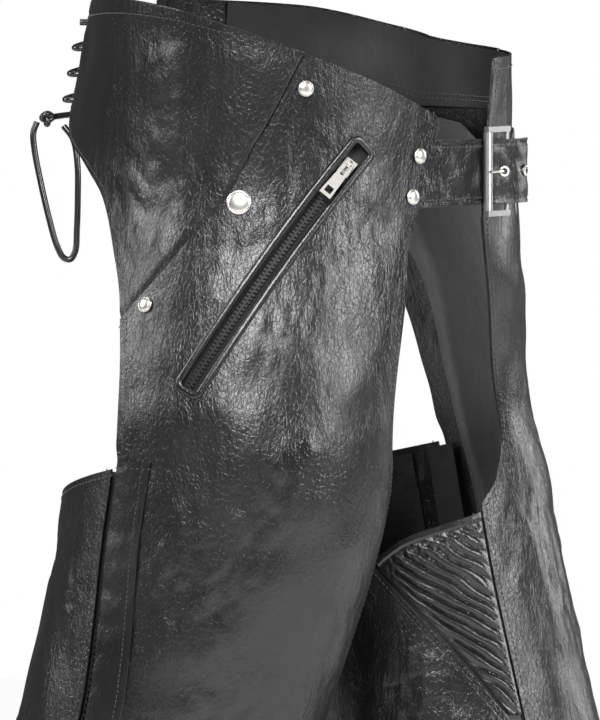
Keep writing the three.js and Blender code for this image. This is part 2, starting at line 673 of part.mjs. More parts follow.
// A raised rim round the pocket's opening: [along, across, way along, way across] at each station.
function pocketWelt(side, arc) {
  const middle = (POCKET_HALF + REST_GAP + WELT_HALF) / 2;
  const half = WELT_HALF - middle;
  const steps = 14;
  const reach = arc.length - 3 + middle - POCKET_HALF;
  const start = 3 - (middle - POCKET_HALF);
  const stations = [];
  for (let k = 0; k <= steps; k++) stations.push([lerp(start, reach, k / steps), middle, k === 0 ? -1 : k === steps ? 1 : 0, 1]);
  for (let k = steps; k >= 0; k--) stations.push([lerp(start, reach, k / steps), -middle, k === 0 ? -1 : k === steps ? 1 : 0, -1]);
  stations.push(stations[0]);
  const base = 2 * REST_GAP;
  const outline = [[-half, base], [half, base], [half, WELT_HEIGHT * 0.6], [half * 0.4, WELT_HEIGHT],
    [-half * 0.4, WELT_HEIGHT], [-half, WELT_HEIGHT * 0.6]];
  return carried(outline, stations.length - 1, (a, up, k) => {
    const [along, across, wayAlong, wayAcross] = stations[k];
    return pocketSkin(side, arc, along + a * wayAlong, across + a * wayAcross, up);
  }, true);
}

// The bag behind the pocket, which hangs between the leather and the lining.
function pocketBag(side) {
  const columns = 9;
  const rows = 5;
  return sheet(columns, rows, (i, j, face) => {
    const share = lerp(0.22, 0.805, i / columns);
    const line = lerp(POCKET_FOOT.height, POCKET_TOP.height,
      (share - POCKET_FOOT.share) / (POCKET_TOP.share - POCKET_FOOT.share));
    const z = lerp(line + 16, Math.min(line - 20, -150), j / rows);
    return onSkin(side, share, z, BAG_DEPTH + face * BAG_THICK);
  });
}

for (const side of SIDES) {
  const arc = pocketArc(side);
  const opening = carried(
    [[-POCKET_HALF, -BAG_DEPTH], [POCKET_HALF, -BAG_DEPTH], [POCKET_HALF, 6], [-POCKET_HALF, 6]],
    10,
    (across, up, k) => pocketSkin(side, arc, lerp(3, arc.length - 3, k / 10), across, up),
  );

  const fastener = (turn, z, radius, name, lift = DOME_STAND) => {
    const spot = frameAt(side, turn, z, -REST_GAP - lift - hollowUnder(side, turn, z, radius));
    add(name, placed(domedCap(radius, DOME_HEIGHT, REST_GAP + 0.8), spot.origin, spot.normal, spot.up), "nickel");
    return placed(
      new THREE.CylinderGeometry(radius * 0.3 + REST_GAP, radius * 0.3 + REST_GAP, 4, 14).rotateX(Math.PI / 2),
      spot.origin, spot.normal, spot.up);
  };
  const seamSpot = (share) => ({ share: share + 0.028, z: yokeSeam(share) - 4 });
  const spots = [["pocket_rivet_lower", 0.07, RIVET_RADIUS], ["snap_cap", 0.44, SNAP_RADIUS],
    ["pocket_rivet_upper", 0.685, RIVET_RADIUS]];
  const holes = spots.map(([name, share, radius]) => {
    const spot = seamSpot(share);
    return fastener(turnAt(side, spot.share, spot.z), spot.z, radius, `${name}_${side}`);
  });
  const beltRivets = [["belt_rivet_upper", 14], ["belt_rivet_lower", -11]].map(([name, z]) =>
    fastener(side === "left" ? CHAPE_RIVET_TURN : turnAt(side, BELT_RIVET_SHARE, z), z, RIVET_RADIUS,
      `${name}_${side}`, side === "left" ? 2 * CHAPE_PLY + REST_GAP + 0.1 : DOME_STAND),
  );
  chapeHoles.push(...(side === "left" ? beltRivets : []));

  const cuts = [opening, ...holes, ...(side === "right" ? beltRivets : [])];
  add(`front_panel_${side}`, cut(frontPanel(side), cuts), "leather");
  add(`rear_panel_${side}`, rearPanel(side), "leather");
  add(`stretch_gusset_${side}`, stretchGusset(side), "leather");
  add(`waist_facing_${side}`, waistFacing(side), "leatherShade");
  add(`front_lining_${side}`, frontLining(side), "lining");
  add(`rear_lining_${side}`, rearLining(side), "lining");
  add(`zip_placket_${side}`, placket(side), "leatherShade");
  add(`leg_zip_chain_${side}`, legZipChain(side), "chain");

  add(`pocket_zip_chain_${side}`, pocketChain(arc), "chain");
  add(`pocket_welt_${side}`, pocketWelt(side, arc), "leatherShade");
  add(`pocket_bag_${side}`, pocketBag(side), "lining");

  const sliderAt = arc.length - POCKET_SLIDER_REST;
  const seat = arc.point(sliderAt, 0, POCKET_TEETH);
  const { out, forward } = arc.axesAt(sliderAt);
  const pocketAcross = new THREE.Vector3().crossVectors(forward, out);
  const pocketPivot = seat.clone().addScaledVector(out, SLIDER_PLAY + SLIDER_PLATE + PULL_LIFT - 0.05);
  add(`pocket_zip_slider_${side}`, placed(sliderSolid(PULL_LIFT), seat, out, pocketAcross), "nickel");
  add(`pocket_zip_pull_${side}`, placed(zipPull(), pocketPivot, out, pocketAcross), "nickel");

  // The leg zip's slider rides on its row of teeth under the slit, and its pull hangs outside.
  const zip = frameAt(side, rearTurn(side, LEG_SLIDER_REST), LEG_SLIDER_REST, TAPE_LOW - ZIP_TOOTH_HEIGHT);
  const rise = TAPE_LOW - ZIP_TOOTH_HEIGHT - SLIDER_PLAY - SLIDER_PLATE + 2.1;
  const across = new THREE.Vector3().crossVectors(zip.up, zip.normal);
  add(`leg_zip_slider_${side}`, placed(sliderSolid(rise), zip.origin, zip.normal, across), "nickel");
  const pivot = zip.origin.clone().addScaledVector(zip.normal, SLIDER_PLAY + SLIDER_PLATE + rise - 0.05);
  add(`leg_zip_pull_${side}`, placed(zipPull(), pivot, zip.normal, across), "nickel");
}

// ---- belt, buckle and lacing ----
// The belt strap starts under the right front panel, passes behind the roller and over the heel bar.
const BELT_ROOT_DEPTH = LEATHER + REST_GAP + STRAP_THICK / 2 + 0.6;
const belt = (() => {
  const root = [-58, -63, -68, -72].map((turn) => skin("right", turn, STRAP_MIDDLE, BELT_ROOT_DEPTH));
  const free = [[-32, -110.6], [-14, -115.6], [ROLLER.x - 4, -118.6], [ROLLER.x + 3, -120.2], [14, -125.2],
    [HEEL_BAR.x - 2, -130.6], [HEEL_BAR.x + 6, -131.6], [38, -131], [46, -127.5], [53, -121.5]];
  const points = [...root, ...free.map(([x, y]) => vec(x, y, STRAP_MIDDLE))];
  return new THREE.CatmullRomCurve3(points, false, "centripetal");
})();

function beltPoint(share, out, height) {
  const at = belt.getPointAt(share);
  const ahead = belt.getTangentAt(share);
  const normal = vec(ahead.y, -ahead.x, 0).normalize();
  const edge = skin("right", -72, STRAP_MIDDLE + height).sub(skin("right", -72, STRAP_MIDDLE));
  const hold = 1 - smooth((share - 0.2) / 0.25);
  const taper = 1 - 0.06 * smooth(share);
  return vec(at.x + normal.x * out + edge.x * hold, at.y + normal.y * out + edge.y * hold,
    STRAP_MIDDLE + height * taper);
}

function eyelet(across) {
  let [low, share] = [0.4, 1];
  for (let n = 0; n < 20; n++) {
    const middle = (low + share) / 2;
    if (belt.getPointAt(middle).x < across) low = middle;
    else share = middle;
  }
  const tangent = belt.getTangentAt(share);
  const normal = vec(tangent.y, -tangent.x, 0).normalize();
  const profile = [[EYELET_HOLE, -STRAP_THICK / 2], [EYELET_NECK, -STRAP_THICK / 2],
    [EYELET_NECK, STRAP_THICK / 2 + REST_GAP], [EYELET_RADIUS, STRAP_THICK / 2 + REST_GAP],
    [EYELET_RADIUS - 0.4, STRAP_THICK / 2 + REST_GAP + EYELET_LIP],
    [EYELET_HOLE, STRAP_THICK / 2 + REST_GAP + EYELET_LIP], [EYELET_HOLE, -STRAP_THICK / 2]];
  const ring = new THREE.LatheGeometry(profile.map(([x, y]) => new THREE.Vector2(x, y)), 16).rotateX(Math.PI / 2);
  const hole = new THREE.CylinderGeometry(EYELET_NECK + REST_GAP, EYELET_NECK + REST_GAP, 3 * STRAP_THICK, 16)
    .rotateX(Math.PI / 2);
  const at = belt.getPointAt(share);
  return { ring: placed(ring, at, normal, vec(0, 0, 1)), hole: placed(hole, at, normal, vec(0, 0, 1)) };
}

function rod(radius, sides, points, steps) {
  const circle = new THREE.Shape();
  for (let i = 0; i < sides; i++) {
    const a = (2 * Math.PI * i) / sides;
    if (i === 0) circle.moveTo(radius, 0);
    else circle.lineTo(radius * Math.cos(a), radius * Math.sin(a));
  }
  const path = new THREE.CatmullRomCurve3(points, false, "centripetal");
  return new THREE.ExtrudeGeometry(circle, { extrudePath: path, steps, bevelEnabled: false });
}

const bar = (at, radius, half, sides = 14) =>
  new THREE.CylinderGeometry(radius, radius, 2 * half, sides).rotateX(Math.PI / 2).translate(at.x, at.y, STRAP_MIDDLE);

function tube(at, inner, outer, half, sides = 16) {
  const profile = [[inner, -half], [outer, -half], [outer, half], [inner, half], [inner, -half]];
  return new THREE.LatheGeometry(profile.map(([x, y]) => new THREE.Vector2(x, y)), sides)
    .rotateX(Math.PI / 2).translate(at.x, at.y, STRAP_MIDDLE);
}

const rollerRadius = BAR_RADIUS + BAR_PLAY + ROLLER_WALL;
const ringRadius = BAR_RADIUS + BAR_PLAY + TONGUE_RING;
const tonguePath = [[HEEL_BAR.x - BAR_RADIUS - BAR_PLAY - 0.5, HEEL_BAR.y], [20.6, -126.9], [17, -128.4], [12, -129],
  [ROLLER.x + 1, ROLLER.y - rollerRadius - REST_GAP - TONGUE_RADIUS], [ROLLER.x - 2.4, -127.2]]
  .map(([x, y]) => vec(x, y, STRAP_MIDDLE));
const tongue = join(
  tube(HEEL_BAR, BAR_RADIUS + BAR_PLAY, ringRadius, TONGUE_HALF),
  rod(TONGUE_RADIUS, 8, tonguePath, 12),
);
const tongueWay = rod(TONGUE_RADIUS + 0.75, 8, tonguePath, 12);

const eyelets = EYELETS_AT.map(eyelet);
const strapOutline = [[-STRAP_THICK / 2, -STRAP_HALF_HEIGHT], [STRAP_THICK / 2, -STRAP_HALF_HEIGHT],
  [STRAP_THICK / 2, STRAP_HALF_HEIGHT], [-STRAP_THICK / 2, STRAP_HALF_HEIGHT]];
const strap = carried(strapOutline, 30, (out, height, k) => beltPoint(k / 30, out, height));
add("belt_strap", cut(strap, [tongueWay, ...eyelets.map((e) => e.hole)]), "leather");
add("strap_eyelet_1", cut(eyelets[0].ring, [tongueWay]), "nickel");
add("strap_eyelet_2", eyelets[1].ring, "nickel");

const rail = (way) => {
  const length = Math.hypot(HEEL_BAR.x - ROLLER.x, HEEL_BAR.y - ROLLER.y);
  return box(length + RAIL_THICK, RAIL_THICK, RAIL_THICK)
    .rotateZ(Math.atan2(HEEL_BAR.y - ROLLER.y, HEEL_BAR.x - ROLLER.x))
    .translate((ROLLER.x + HEEL_BAR.x) / 2, (ROLLER.y + HEEL_BAR.y) / 2, STRAP_MIDDLE + way * BUCKLE_HALF_HEIGHT);
};
add("buckle_frame", join(bar(ROLLER, BAR_RADIUS, BUCKLE_HALF_HEIGHT), bar(HEEL_BAR, BAR_RADIUS, BUCKLE_HALF_HEIGHT),
  rail(1), rail(-1)), "nickel");
add("buckle_roller", tube(ROLLER, BAR_RADIUS + BAR_PLAY, rollerRadius,
  BUCKLE_HALF_HEIGHT - RAIL_THICK / 2 - REST_GAP), "nickel");
add("buckle_tongue", tongue, "nickel");

// The chape folds round the heel bar and lies on the left front panel.
const chapeTail = [[-78.8, 4.2], [-77.2, 1.8], [-75, 0.4], [-72.5, 0.1], [-70, 0.1]]; // degrees round, extra stand-off
const chape = (() => {
  const stand = REST_GAP + CHAPE_PLY;
  const tail = sheet(7, 2, (i, j, face) => {
    const height = lerp(CHAPE_HALF_HEIGHT, -CHAPE_HALF_HEIGHT, j / 2);
    const z = STRAP_MIDDLE + height;
    if (i === 0) return vec(HEEL_BAR.x + 1.5, HEEL_BAR.y + (face ? 1 : -1) * 1.2 + 1, z);
    if (i === 1) return vec(HEEL_BAR.x + 4.5, HEEL_BAR.y + (face ? 1 : -1) * CHAPE_PLY + 3, z);
    const [turn, lift] = chapeTail[Math.min(i - 2, chapeTail.length - 1)];
    const more = i === 7 ? 4 : 0;
    return skin("left", turn + more, z, -stand - lift + (face ? CHAPE_PLY : -CHAPE_PLY));
  });
  const loop = tube(HEEL_BAR, BAR_RADIUS + BAR_PLAY, BAR_RADIUS + BAR_PLAY + CHAPE_PLY, CHAPE_HALF_HEIGHT);
  const window = box(14, 14, 2 * (TONGUE_HALF + REST_GAP + 0.4)).translate(HEEL_BAR.x - 3, HEEL_BAR.y, STRAP_MIDDLE);
  return cut(join(tail, loop), [bar(HEEL_BAR, BAR_RADIUS + BAR_PLAY, 2 * BUCKLE_HALF_HEIGHT, 16), window, ...chapeHoles]);
})();
add("belt_chape", chape, "leather");

// The lace winds through the holes of both yokes, row by row, and ends in a knot with a hanging loop.
const KNOT = vec(-31, 171, 31);
const laceHole = (side, z) => {
  const turn = rearTurn(side, z) - LACE_INSET * degreesPerMm(side, rearTurn(side, z), z);
  return { turn, z };
};
const laceRoute = LACE_ROWS.flatMap((z) => {
  const right = laceHole("right", z);
  const left = laceHole("left", z - 6);
  return [
    skin("right", right.turn, right.z, -4.5),
    skin("right", right.turn, right.z, 7),
    skin("left", left.turn, left.z, 7),
    skin("left", left.turn, left.z, -4.5),
  ];
});
const laceHoles = (side) =>
  LACE_ROWS.map((row) => {
    const spot = laceHole(side, side === "right" ? row : row - 6);
    const place = frameAt(side, spot.turn, spot.z);
    return placed(new THREE.CylinderGeometry(LACE_HOLE, LACE_HOLE, 8, 12).rotateX(Math.PI / 2),
      place.origin, place.normal, place.up);
  });
add("lace", rod(LACE_RADIUS, 8, [...laceRoute, KNOT.clone().add(vec(6.1, -2.2, 0.8))], 76), "lace");
add("lace_knot", new THREE.SphereGeometry(6, 10, 7).scale(1, 0.8, 0.8).translate(KNOT.x, KNOT.y, KNOT.z), "lace");

for (const side of SIDES) {
  add(`hip_yoke_${side}`, cut(hipYoke(side), laceHoles(side)), "leather");
}

// The hanging loop of the lace, from one side of the knot round to the other.
const LOOP = [[-34, 176.5, 28.5], [-36, 178, 22], [-36.5, 177, 12], [-37.5, 172, -8], [-38.5, 165.5, -30],
  [-38.5, 159.5, -48], [-37, 155.5, -55.5], [-35, 152, -56.5], [-33, 149.5, -51.5], [-31, 149.5, -38], [-29, 150, -18],
  [-27, 151.5, 3], [-25.5, 155.5, 18], [-26, 162, 26]];
add("lace_loop", rod(LACE_RADIUS, 8, LOOP.map(([x, y, z]) => vec(x, y, z)), 44), "lace");

export default group;
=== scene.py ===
import math

import bpy
import numpy as np
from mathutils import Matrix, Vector


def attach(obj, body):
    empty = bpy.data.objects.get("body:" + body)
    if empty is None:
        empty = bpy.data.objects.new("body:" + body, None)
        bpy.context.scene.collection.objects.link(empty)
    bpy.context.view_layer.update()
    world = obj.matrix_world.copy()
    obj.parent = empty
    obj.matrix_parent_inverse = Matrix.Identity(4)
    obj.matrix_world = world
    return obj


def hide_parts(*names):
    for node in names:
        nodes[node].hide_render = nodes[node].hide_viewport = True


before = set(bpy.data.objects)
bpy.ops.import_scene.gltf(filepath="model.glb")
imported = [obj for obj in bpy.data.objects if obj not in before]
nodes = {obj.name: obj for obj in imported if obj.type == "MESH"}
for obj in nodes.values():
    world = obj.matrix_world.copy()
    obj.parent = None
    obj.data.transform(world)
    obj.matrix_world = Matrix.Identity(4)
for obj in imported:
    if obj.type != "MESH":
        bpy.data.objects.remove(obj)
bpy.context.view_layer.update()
print("frame loaded")

# Camera, light and floor.
azimuth, elevation, distance = math.radians(-60), math.radians(3), 12.0
back = Vector((math.sin(azimuth) * math.cos(elevation), -math.cos(azimuth) * math.cos(elevation),
               math.sin(elevation)))
camera = bpy.data.objects.new("camera", bpy.data.cameras.new("camera"))
camera.data.lens = 967.6
camera.location = Vector((-0.00305, 0.0053, -0.1168)) + back * distance
camera.rotation_mode = "QUATERNION"
camera.rotation_quaternion = (-back).to_track_quat("-Z", "Y")
camera.data.clip_end = 60
bpy.context.scene.collection.objects.link(camera)
bpy.context.scene.camera = camera
bpy.context.scene.view_settings.view_transform = "Standard"


def areaLight(name, place, aim, size, power, tall=None):
    data = bpy.data.lights.new(name, "AREA")
    data.energy = power
    data.shape = "RECTANGLE"
    data.size = size
    data.size_y = tall or size
    light = bpy.data.objects.new(name, data)
    light.location = place
    light.rotation_mode = "QUATERNION"
    light.rotation_quaternion = (Vector(place) - Vector(aim)).to_track_quat("Z", "Y")
    bpy.context.scene.collection.objects.link(light)


areaLight("key", (-2.6, -1.0, 1.7), (0, 0, -0.1), 1.0, 120, 1.5)
areaLight("front", (-0.1, -3.2, 0.9), (0, 0, -0.1), 0.9, 75, 1.6)
areaLight("rear", (-1.8, 2.6, 1.4), (0, 0, -0.1), 0.9, 60, 1.8)
areaLight("right", (2.8, -1.4, 0.7), (0, 0, -0.2), 0.8, 36, 2.0)
areaLight("top", (0.2, 0.3, 2.8), (0, 0, 0), 1.6, 26)

# A white surround for the camera, and a dim even one for the light.
world = bpy.data.worlds.new("studio")
bpy.context.scene.world = world
world.use_nodes = True
tree = world.node_tree
tree.nodes.clear()
outWorld = tree.nodes.new("ShaderNodeOutputWorld")
mixWorld = tree.nodes.new("ShaderNodeMixShader")
pathWorld = tree.nodes.new("ShaderNodeLightPath")
dimWorld = tree.nodes.new("ShaderNodeBackground")
dimWorld.inputs["Color"].default_value = (0.95, 0.97, 1, 1)
dimWorld.inputs["Strength"].default_value = 0.1
paleWorld = tree.nodes.new("ShaderNodeBackground")
paleWorld.inputs["Color"].default_value = (1, 1, 1, 1)
paleWorld.inputs["Strength"].default_value = 1.0
tree.links.new(pathWorld.outputs["Is Camera Ray"], mixWorld.inputs[0])
tree.links.new(dimWorld.outputs[0], mixWorld.inputs[1])
tree.links.new(paleWorld.outputs[0], mixWorld.inputs[2])
tree.links.new(mixWorld.outputs[0], outWorld.inputs[0])

# Shared node groups.
def nodeGroup(name, sockets, outputs):
    group = bpy.data.node_groups.new(name, "ShaderNodeTree")
    for label, kind, value in sockets:
        socket = group.interface.new_socket(label, in_out="INPUT", socket_type=kind)
        socket.default_value = value
    for label, kind in outputs:
        group.interface.new_socket(label, in_out="OUTPUT", socket_type=kind)
    return group, group.nodes.new("NodeGroupInput"), group.nodes.new("NodeGroupOutput")


def node(tree, kind, inputs=None, **settings):
    made = tree.nodes.new(kind)
    for key, value in settings.items():
        setattr(made, key, value)
    for key, value in (inputs or {}).items():
        if isinstance(value, bpy.types.NodeSocket):
            tree.links.new(value, made.inputs[key])
        else:
            made.inputs[key].default_value = value
    return made


# Pebbles about 2 mm across, drawn-out creases, slow changes of gloss, and a mask for painted shade in the grooves
# between grain cells.
grainGroup, grainIn, grainOut = nodeGroup(
    "leatherGrain",
    [("Pebble", "NodeSocketFloat", 1.0), ("Crease", "NodeSocketFloat", 1.0)],
    [("Normal", "NodeSocketVector"), ("Gloss", "NodeSocketFloat"), ("Wear", "NodeSocketFloat")],
)
g = grainGroup
place = node(g, "ShaderNodeTexCoord").outputs["Object"]
bend = node(g, "ShaderNodeTexNoise", {"Vector": place, "Scale": 45.0, "Detail": 2.0})
shift = node(g, "ShaderNodeVectorMath", {0: bend.outputs["Color"], 1: (0.5, 0.5, 0.5)},
             operation="SUBTRACT")
nudge = node(g, "ShaderNodeVectorMath", {0: shift.outputs[0], "Scale": 0.004}, operation="SCALE")
bent = node(g, "ShaderNodeVectorMath", {0: place, 1: nudge.outputs[0]}, operation="ADD")
stretch = node(g, "ShaderNodeMapping", {"Vector": bent.outputs[0], "Scale": (1.0, 1.0, 0.62)})
pebble = node(g, "ShaderNodeTexVoronoi", {"Vector": stretch.outputs[0], "Scale": 560.0},
              feature="SMOOTH_F1")
cell = node(g, "ShaderNodeTexVoronoi", {"Vector": stretch.outputs[0], "Scale": 420.0},
            feature="DISTANCE_TO_EDGE")
cellEdge = node(g, "ShaderNodeMapRange", {"Value": cell.outputs["Distance"], "From Max": 0.12,
                                          "To Max": 1.0})
fine = node(g, "ShaderNodeTexNoise", {"Vector": place, "Scale": 900.0, "Detail": 3.0})
creaseMap = node(g, "ShaderNodeMapping", {"Vector": bent.outputs[0], "Rotation": (0.5, 0.3, 0.9),
                                          "Scale": (1.0, 1.0, 0.34)})
crease = node(g, "ShaderNodeTexNoise", {"Vector": creaseMap.outputs[0], "Scale": 88.0, "Detail": 5.0,
                                        "Roughness": 0.62, "Distortion": 0.7})
sumA = node(g, "ShaderNodeMath", {0: pebble.outputs["Distance"], 1: cellEdge.outputs[0]},
            operation="MULTIPLY_ADD")
sumA.inputs[2].default_value = 0.0
addFine = node(g, "ShaderNodeMath", {0: fine.outputs["Fac"], 1: 0.25}, operation="MULTIPLY_ADD")
g.links.new(sumA.outputs[0], addFine.inputs[2])
pebbled = node(g, "ShaderNodeMath", {0: addFine.outputs[0], 1: grainIn.outputs["Pebble"]},
               operation="MULTIPLY")
bumpA = node(g, "ShaderNodeBump", {"Height": pebbled.outputs[0], "Distance": 0.0004, "Strength": 0.4})
creased = node(g, "ShaderNodeMath", {0: crease.outputs["Fac"], 1: grainIn.outputs["Crease"]},
               operation="MULTIPLY")
bumpB = node(g, "ShaderNodeBump", {"Height": creased.outputs[0], "Distance": 0.0024, "Strength": 0.5,
                                   "Normal": bumpA.outputs[0]})
cloud = node(g, "ShaderNodeTexNoise", {"Vector": place, "Scale": 17.0, "Detail": 3.0})
g.links.new(bumpB.outputs[0], grainOut.inputs["Normal"])
g.links.new(cloud.outputs["Fac"], grainOut.inputs["Gloss"])
# The groove mask of the grain cells also masks the painted shade that darkens those grooves.
g.links.new(cellEdge.outputs[0], grainOut.inputs["Wear"])

# A fine plain weave for linings and zip tapes.
weaveGroup, _, weaveOut = nodeGroup(
    "weave", [("Size", "NodeSocketFloat", 1500.0)], [("Normal", "NodeSocketVector")])
g = weaveGroup
place = node(g, "ShaderNodeTexCoord").outputs["Object"]
warp = node(g, "ShaderNodeTexWave", {"Vector": place, "Scale": 260.0}, bands_direction="Z")
weft = node(g, "ShaderNodeTexWave", {"Vector": place, "Scale": 260.0}, bands_direction="DIAGONAL")
both = node(g, "ShaderNodeMath", {0: warp.outputs["Fac"], 1: weft.outputs["Fac"]}, operation="ADD")
folds = node(g, "ShaderNodeTexNoise", {"Vector": place, "Scale": 26.0, "Detail": 3.0})
bumpA = node(g, "ShaderNodeBump", {"Height": both.outputs[0], "Distance": 0.0001, "Strength": 0.4})
bumpB = node(g, "ShaderNodeBump", {"Height": folds.outputs["Fac"], "Distance": 0.006, "Strength": 0.5,
                                   "Normal": bumpA.outputs[0]})
g.links.new(bumpB.outputs[0], weaveOut.inputs["Normal"])


def material(name, look, grain=None, weave=False):
    made = bpy.data.materials.new(name)
    made.use_nodes = True
    t = made.node_tree
    shader = t.nodes["Principled BSDF"]
    for key, value in look.items():
        shader.inputs[key].default_value = value
    if grain:
        effect = node(t, "ShaderNodeGroup", node_tree=grainGroup)
        effect.inputs["Pebble"].default_value, effect.inputs["Crease"].default_value = grain
        t.links.new(effect.outputs["Normal"], shader.inputs["Normal"])
        low = look.get("Roughness", 0.4)
        gloss = node(t, "ShaderNodeMapRange", {"Value": effect.outputs["Gloss"], "From Min": 0.3,
                                               "From Max": 0.7,
                                               "To Min": low - 0.03, "To Max": low + 0.07})
        t.links.new(gloss.outputs[0], shader.inputs["Roughness"])
        # Painted shade: the base colour drops to 70% in the grooves between grain cells.
        r, gr, b, _ = look["Base Color"]
        tone = node(t, "ShaderNodeMix", {0: effect.outputs["Wear"], 6: (r * 0.7, gr * 0.7, b * 0.7, 1),
                                         7: (r, gr, b, 1)}, data_type="RGBA")
        t.links.new(tone.outputs[2], shader.inputs["Base Color"])
    if weave:
        effect = node(t, "ShaderNodeGroup", node_tree=weaveGroup)
        t.links.new(effect.outputs["Normal"], shader.inputs["Normal"])
    return made


blackLeather = material("blackLeather", {"Base Color": (0.0042, 0.0042, 0.0046, 1), "Roughness": 0.3,
                                         "Specular IOR Level": 0.62,
                                         "Coat Weight": 0.12, "Coat Roughness": 0.3}, grain=(1.0, 1.0))
smoothLeather = material("smoothLeather", {"Base Color": (0.0038, 0.0038, 0.0042, 1), "Roughness": 0.3,
                                           "Specular IOR Level": 0.65,
                                           "Coat Weight": 0.2, "Coat Roughness": 0.22}, grain=(0.45, 0.5))
facingLeather = material("facingLeather", {"Base Color": (0.012, 0.012, 0.0135, 1), "Roughness": 0.42},
                         grain=(0.06, 0.3))
laceLeather = material("laceLeather", {"Base Color": (0.01, 0.01, 0.011, 1), "Roughness": 0.26,
                                       "Coat Weight": 0.4}, grain=(0.2, 0.2))
liningCloth = material("liningCloth", {"Base Color": (0.006, 0.006, 0.007, 1), "Roughness": 0.5,
                                       "Sheen Weight": 0.25}, weave=True)
tapeCloth = material("tapeCloth", {"Base Color": (0.012, 0.012, 0.013, 1), "Roughness": 0.8}, weave=True)
thread = material("thread", {"Base Color": (0.02, 0.02, 0.022, 1), "Roughness": 0.45, "Sheen Weight": 0.3})
nickel = material("nickel", {"Base Color": (0.74, 0.72, 0.69, 1), "Metallic": 1.0, "Roughness": 0.34})
chrome = material("chrome", {"Base Color": (0.82, 0.82, 0.82, 1), "Metallic": 1.0, "Roughness": 0.3})
teethMetal = material("teethMetal", {"Base Color": (0.1, 0.1, 0.105, 1), "Metallic": 1.0,
                                     "Roughness": 0.28})

# The surface that all panels lie on, in millimetres.
sideNames = ("right", "left")
sign = {"right": -1.0, "left": 1.0}
knee, hem, legTop, hipTop = -341.0, -950.0, -175.0, 20.0
stride = {"right": 0.3, "left": -0.27}
rearEdge = {
    "right": [(105, 70), (40, 66), (24, 58), (8, 42), (-12, 31), (-40, 24.5), (-75, 19), (-120, 17),
              (-170, 18), (-210, 19),
              (knee, 8), (hem, 8)],
    "left": [(105, 70), (40, 66), (24, 58), (8, 41), (-12, 30), (-40, 22), (-75, 13), (-120, 5), (-150, 2),
             (-175, 2),
             (-210, 4), (knee, 8), (hem, 8)],
}
frontEdge = {
    "right": [(80, -77), (40, -77), (0, -72), (-36, -72), (-75, -79), (-113, -88), (-150, -99),
              (-185, -111), (-210, -121),
              (knee, -121.5), (hem, -121.5)],
    "left": [(80, -77), (28, -82), (-40, -91), (-90, -96), (-132, -99.5), (-170, -104), (-190, -111),
             (-210, -121),
             (knee, -121.5), (hem, -121.5)],
}
waistLine = {
    "right": [(0, 105), (0.26, 110), (0.42, 106), (0.58, 94), (0.7, 81), (0.86, 60), (1, 37)],
    "left": [(0, 105), (0.23, 99), (0.39, 86), (0.51, 78), (0.62, 75), (0.8, 73), (1, 72)],
}
yokeLine = [(0, -85), (0.08, -70), (0.22, -46), (0.37, -21.5), (0.5, 3.5), (0.62, 30), (0.72, 80)]
yokeEnd = {"right": 0.71, "left": 0.7}
crotchLine = [(1, -211), (1.13, -226), (1.2, -241), (1.36, -252), (1.6, -215), (1.85, -190), (2, -176)]
pocketTop, pocketFoot = (0.83, 22.0), (0.235, -128.0)


def mix(a, b, t):
    return a + (b - a) * t


def ease(t):
    t = np.clip(t, 0, 1)
    return t * t * (3 - 2 * t)


# A smooth curve through (key, value) pairs that doesn't overshoot them.
def through(points, key):
    x, y = np.array(sorted(points), float).T
    secant = np.diff(y) / np.diff(x)
    slope = np.zeros(len(x))
    slope[0], slope[-1] = secant[0], secant[-1]
    a, b = secant[:-1], secant[1:]
    slope[1:-1] = np.where(a * b > 0, 2 * a * b / np.where(np.abs(a + b) < 1e-12, 1, a + b), 0)
    key = np.clip(key, x[0], x[-1])
    i = np.clip(np.searchsorted(x, key, side="right") - 1, 0, len(x) - 2)
    w = x[i + 1] - x[i]
    t = (key - x[i]) / w
    return ((2 * t**3 - 3 * t**2 + 1) * y[i] + (t**3 - 2 * t**2 + t) * w * slope[i]
            + (3 * t**2 - 2 * t**3) * y[i + 1] + (t**3 - t**2) * w * slope[i + 1])


def raised(v, e):
    return np.sign(v) * np.abs(v) ** e


# x = |cos|^(2/p), y = |sin|^(2/p) on each half of the section, moved inward along its normal by depth.
def skin(side, turn, z, depth=0.0):
    turn, z, depth = np.broadcast_arrays(np.asarray(turn, float), np.asarray(z, float),
                                         np.asarray(depth, float))
    hip = ease((z - legTop) / (hipTop - legTop))
    run = np.maximum(0, -150 - z)
    eased = np.where(run < 120, run**2 / 240, run - 60)
    shift = 14 * np.exp(-(((z + 135) / 55) ** 2)) if side == "left" else 0
    thigh = np.where(z > knee, mix(106, 97.5, np.maximum(0, (z - legTop) / (knee - legTop))),
                     mix(97.5, 90, (z - knee) / (hem - knee)))
    middle = (1 - hip) * (98 + 0.057 * np.maximum(0, legTop - z))
    halfWidth = mix(88, 150, hip)
    front, rear = mix(thigh, 116, hip), mix(thigh, 170 - 0.25 * np.maximum(z, 0), hip)
    power = np.where(turn % 360 < 180, 2 - 0.4 * hip * hip, 2)
    c, d = np.cos(np.radians(turn)), np.sin(np.radians(turn))
    deep = np.where(d > 0, rear, front)
    x, y = raised(c, 2 / power), raised(d, 2 / power)
    nx, ny = raised(x, power - 1) / halfWidth, raised(y, power - 1) / deep
    size = np.hypot(nx, ny)
    nx, ny = nx / size, ny / size
    return np.stack([sign[side] * (middle + halfWidth * x - nx * depth),
                     stride[side] * eased + shift + deep * y - ny * depth, z],
                    -1)


def turnAt(side, share, z):
    rear, front = through(rearEdge[side], z), through(frontEdge[side], z)
    return np.where(share <= 1, mix(rear, front, share), mix(front, rear - 360, share - 1))


def onSkin(side, share, z, depth=0.0):
    return skin(side, turnAt(side, share, z), z, depth)


def unit(v):
    return v / np.maximum(np.linalg.norm(v, axis=-1, keepdims=True), 1e-12)


def degreesPerMm(side, turn, z):
    return 1 / np.linalg.norm(skin(side, turn + 0.5, z) - skin(side, turn - 0.5, z), axis=-1)


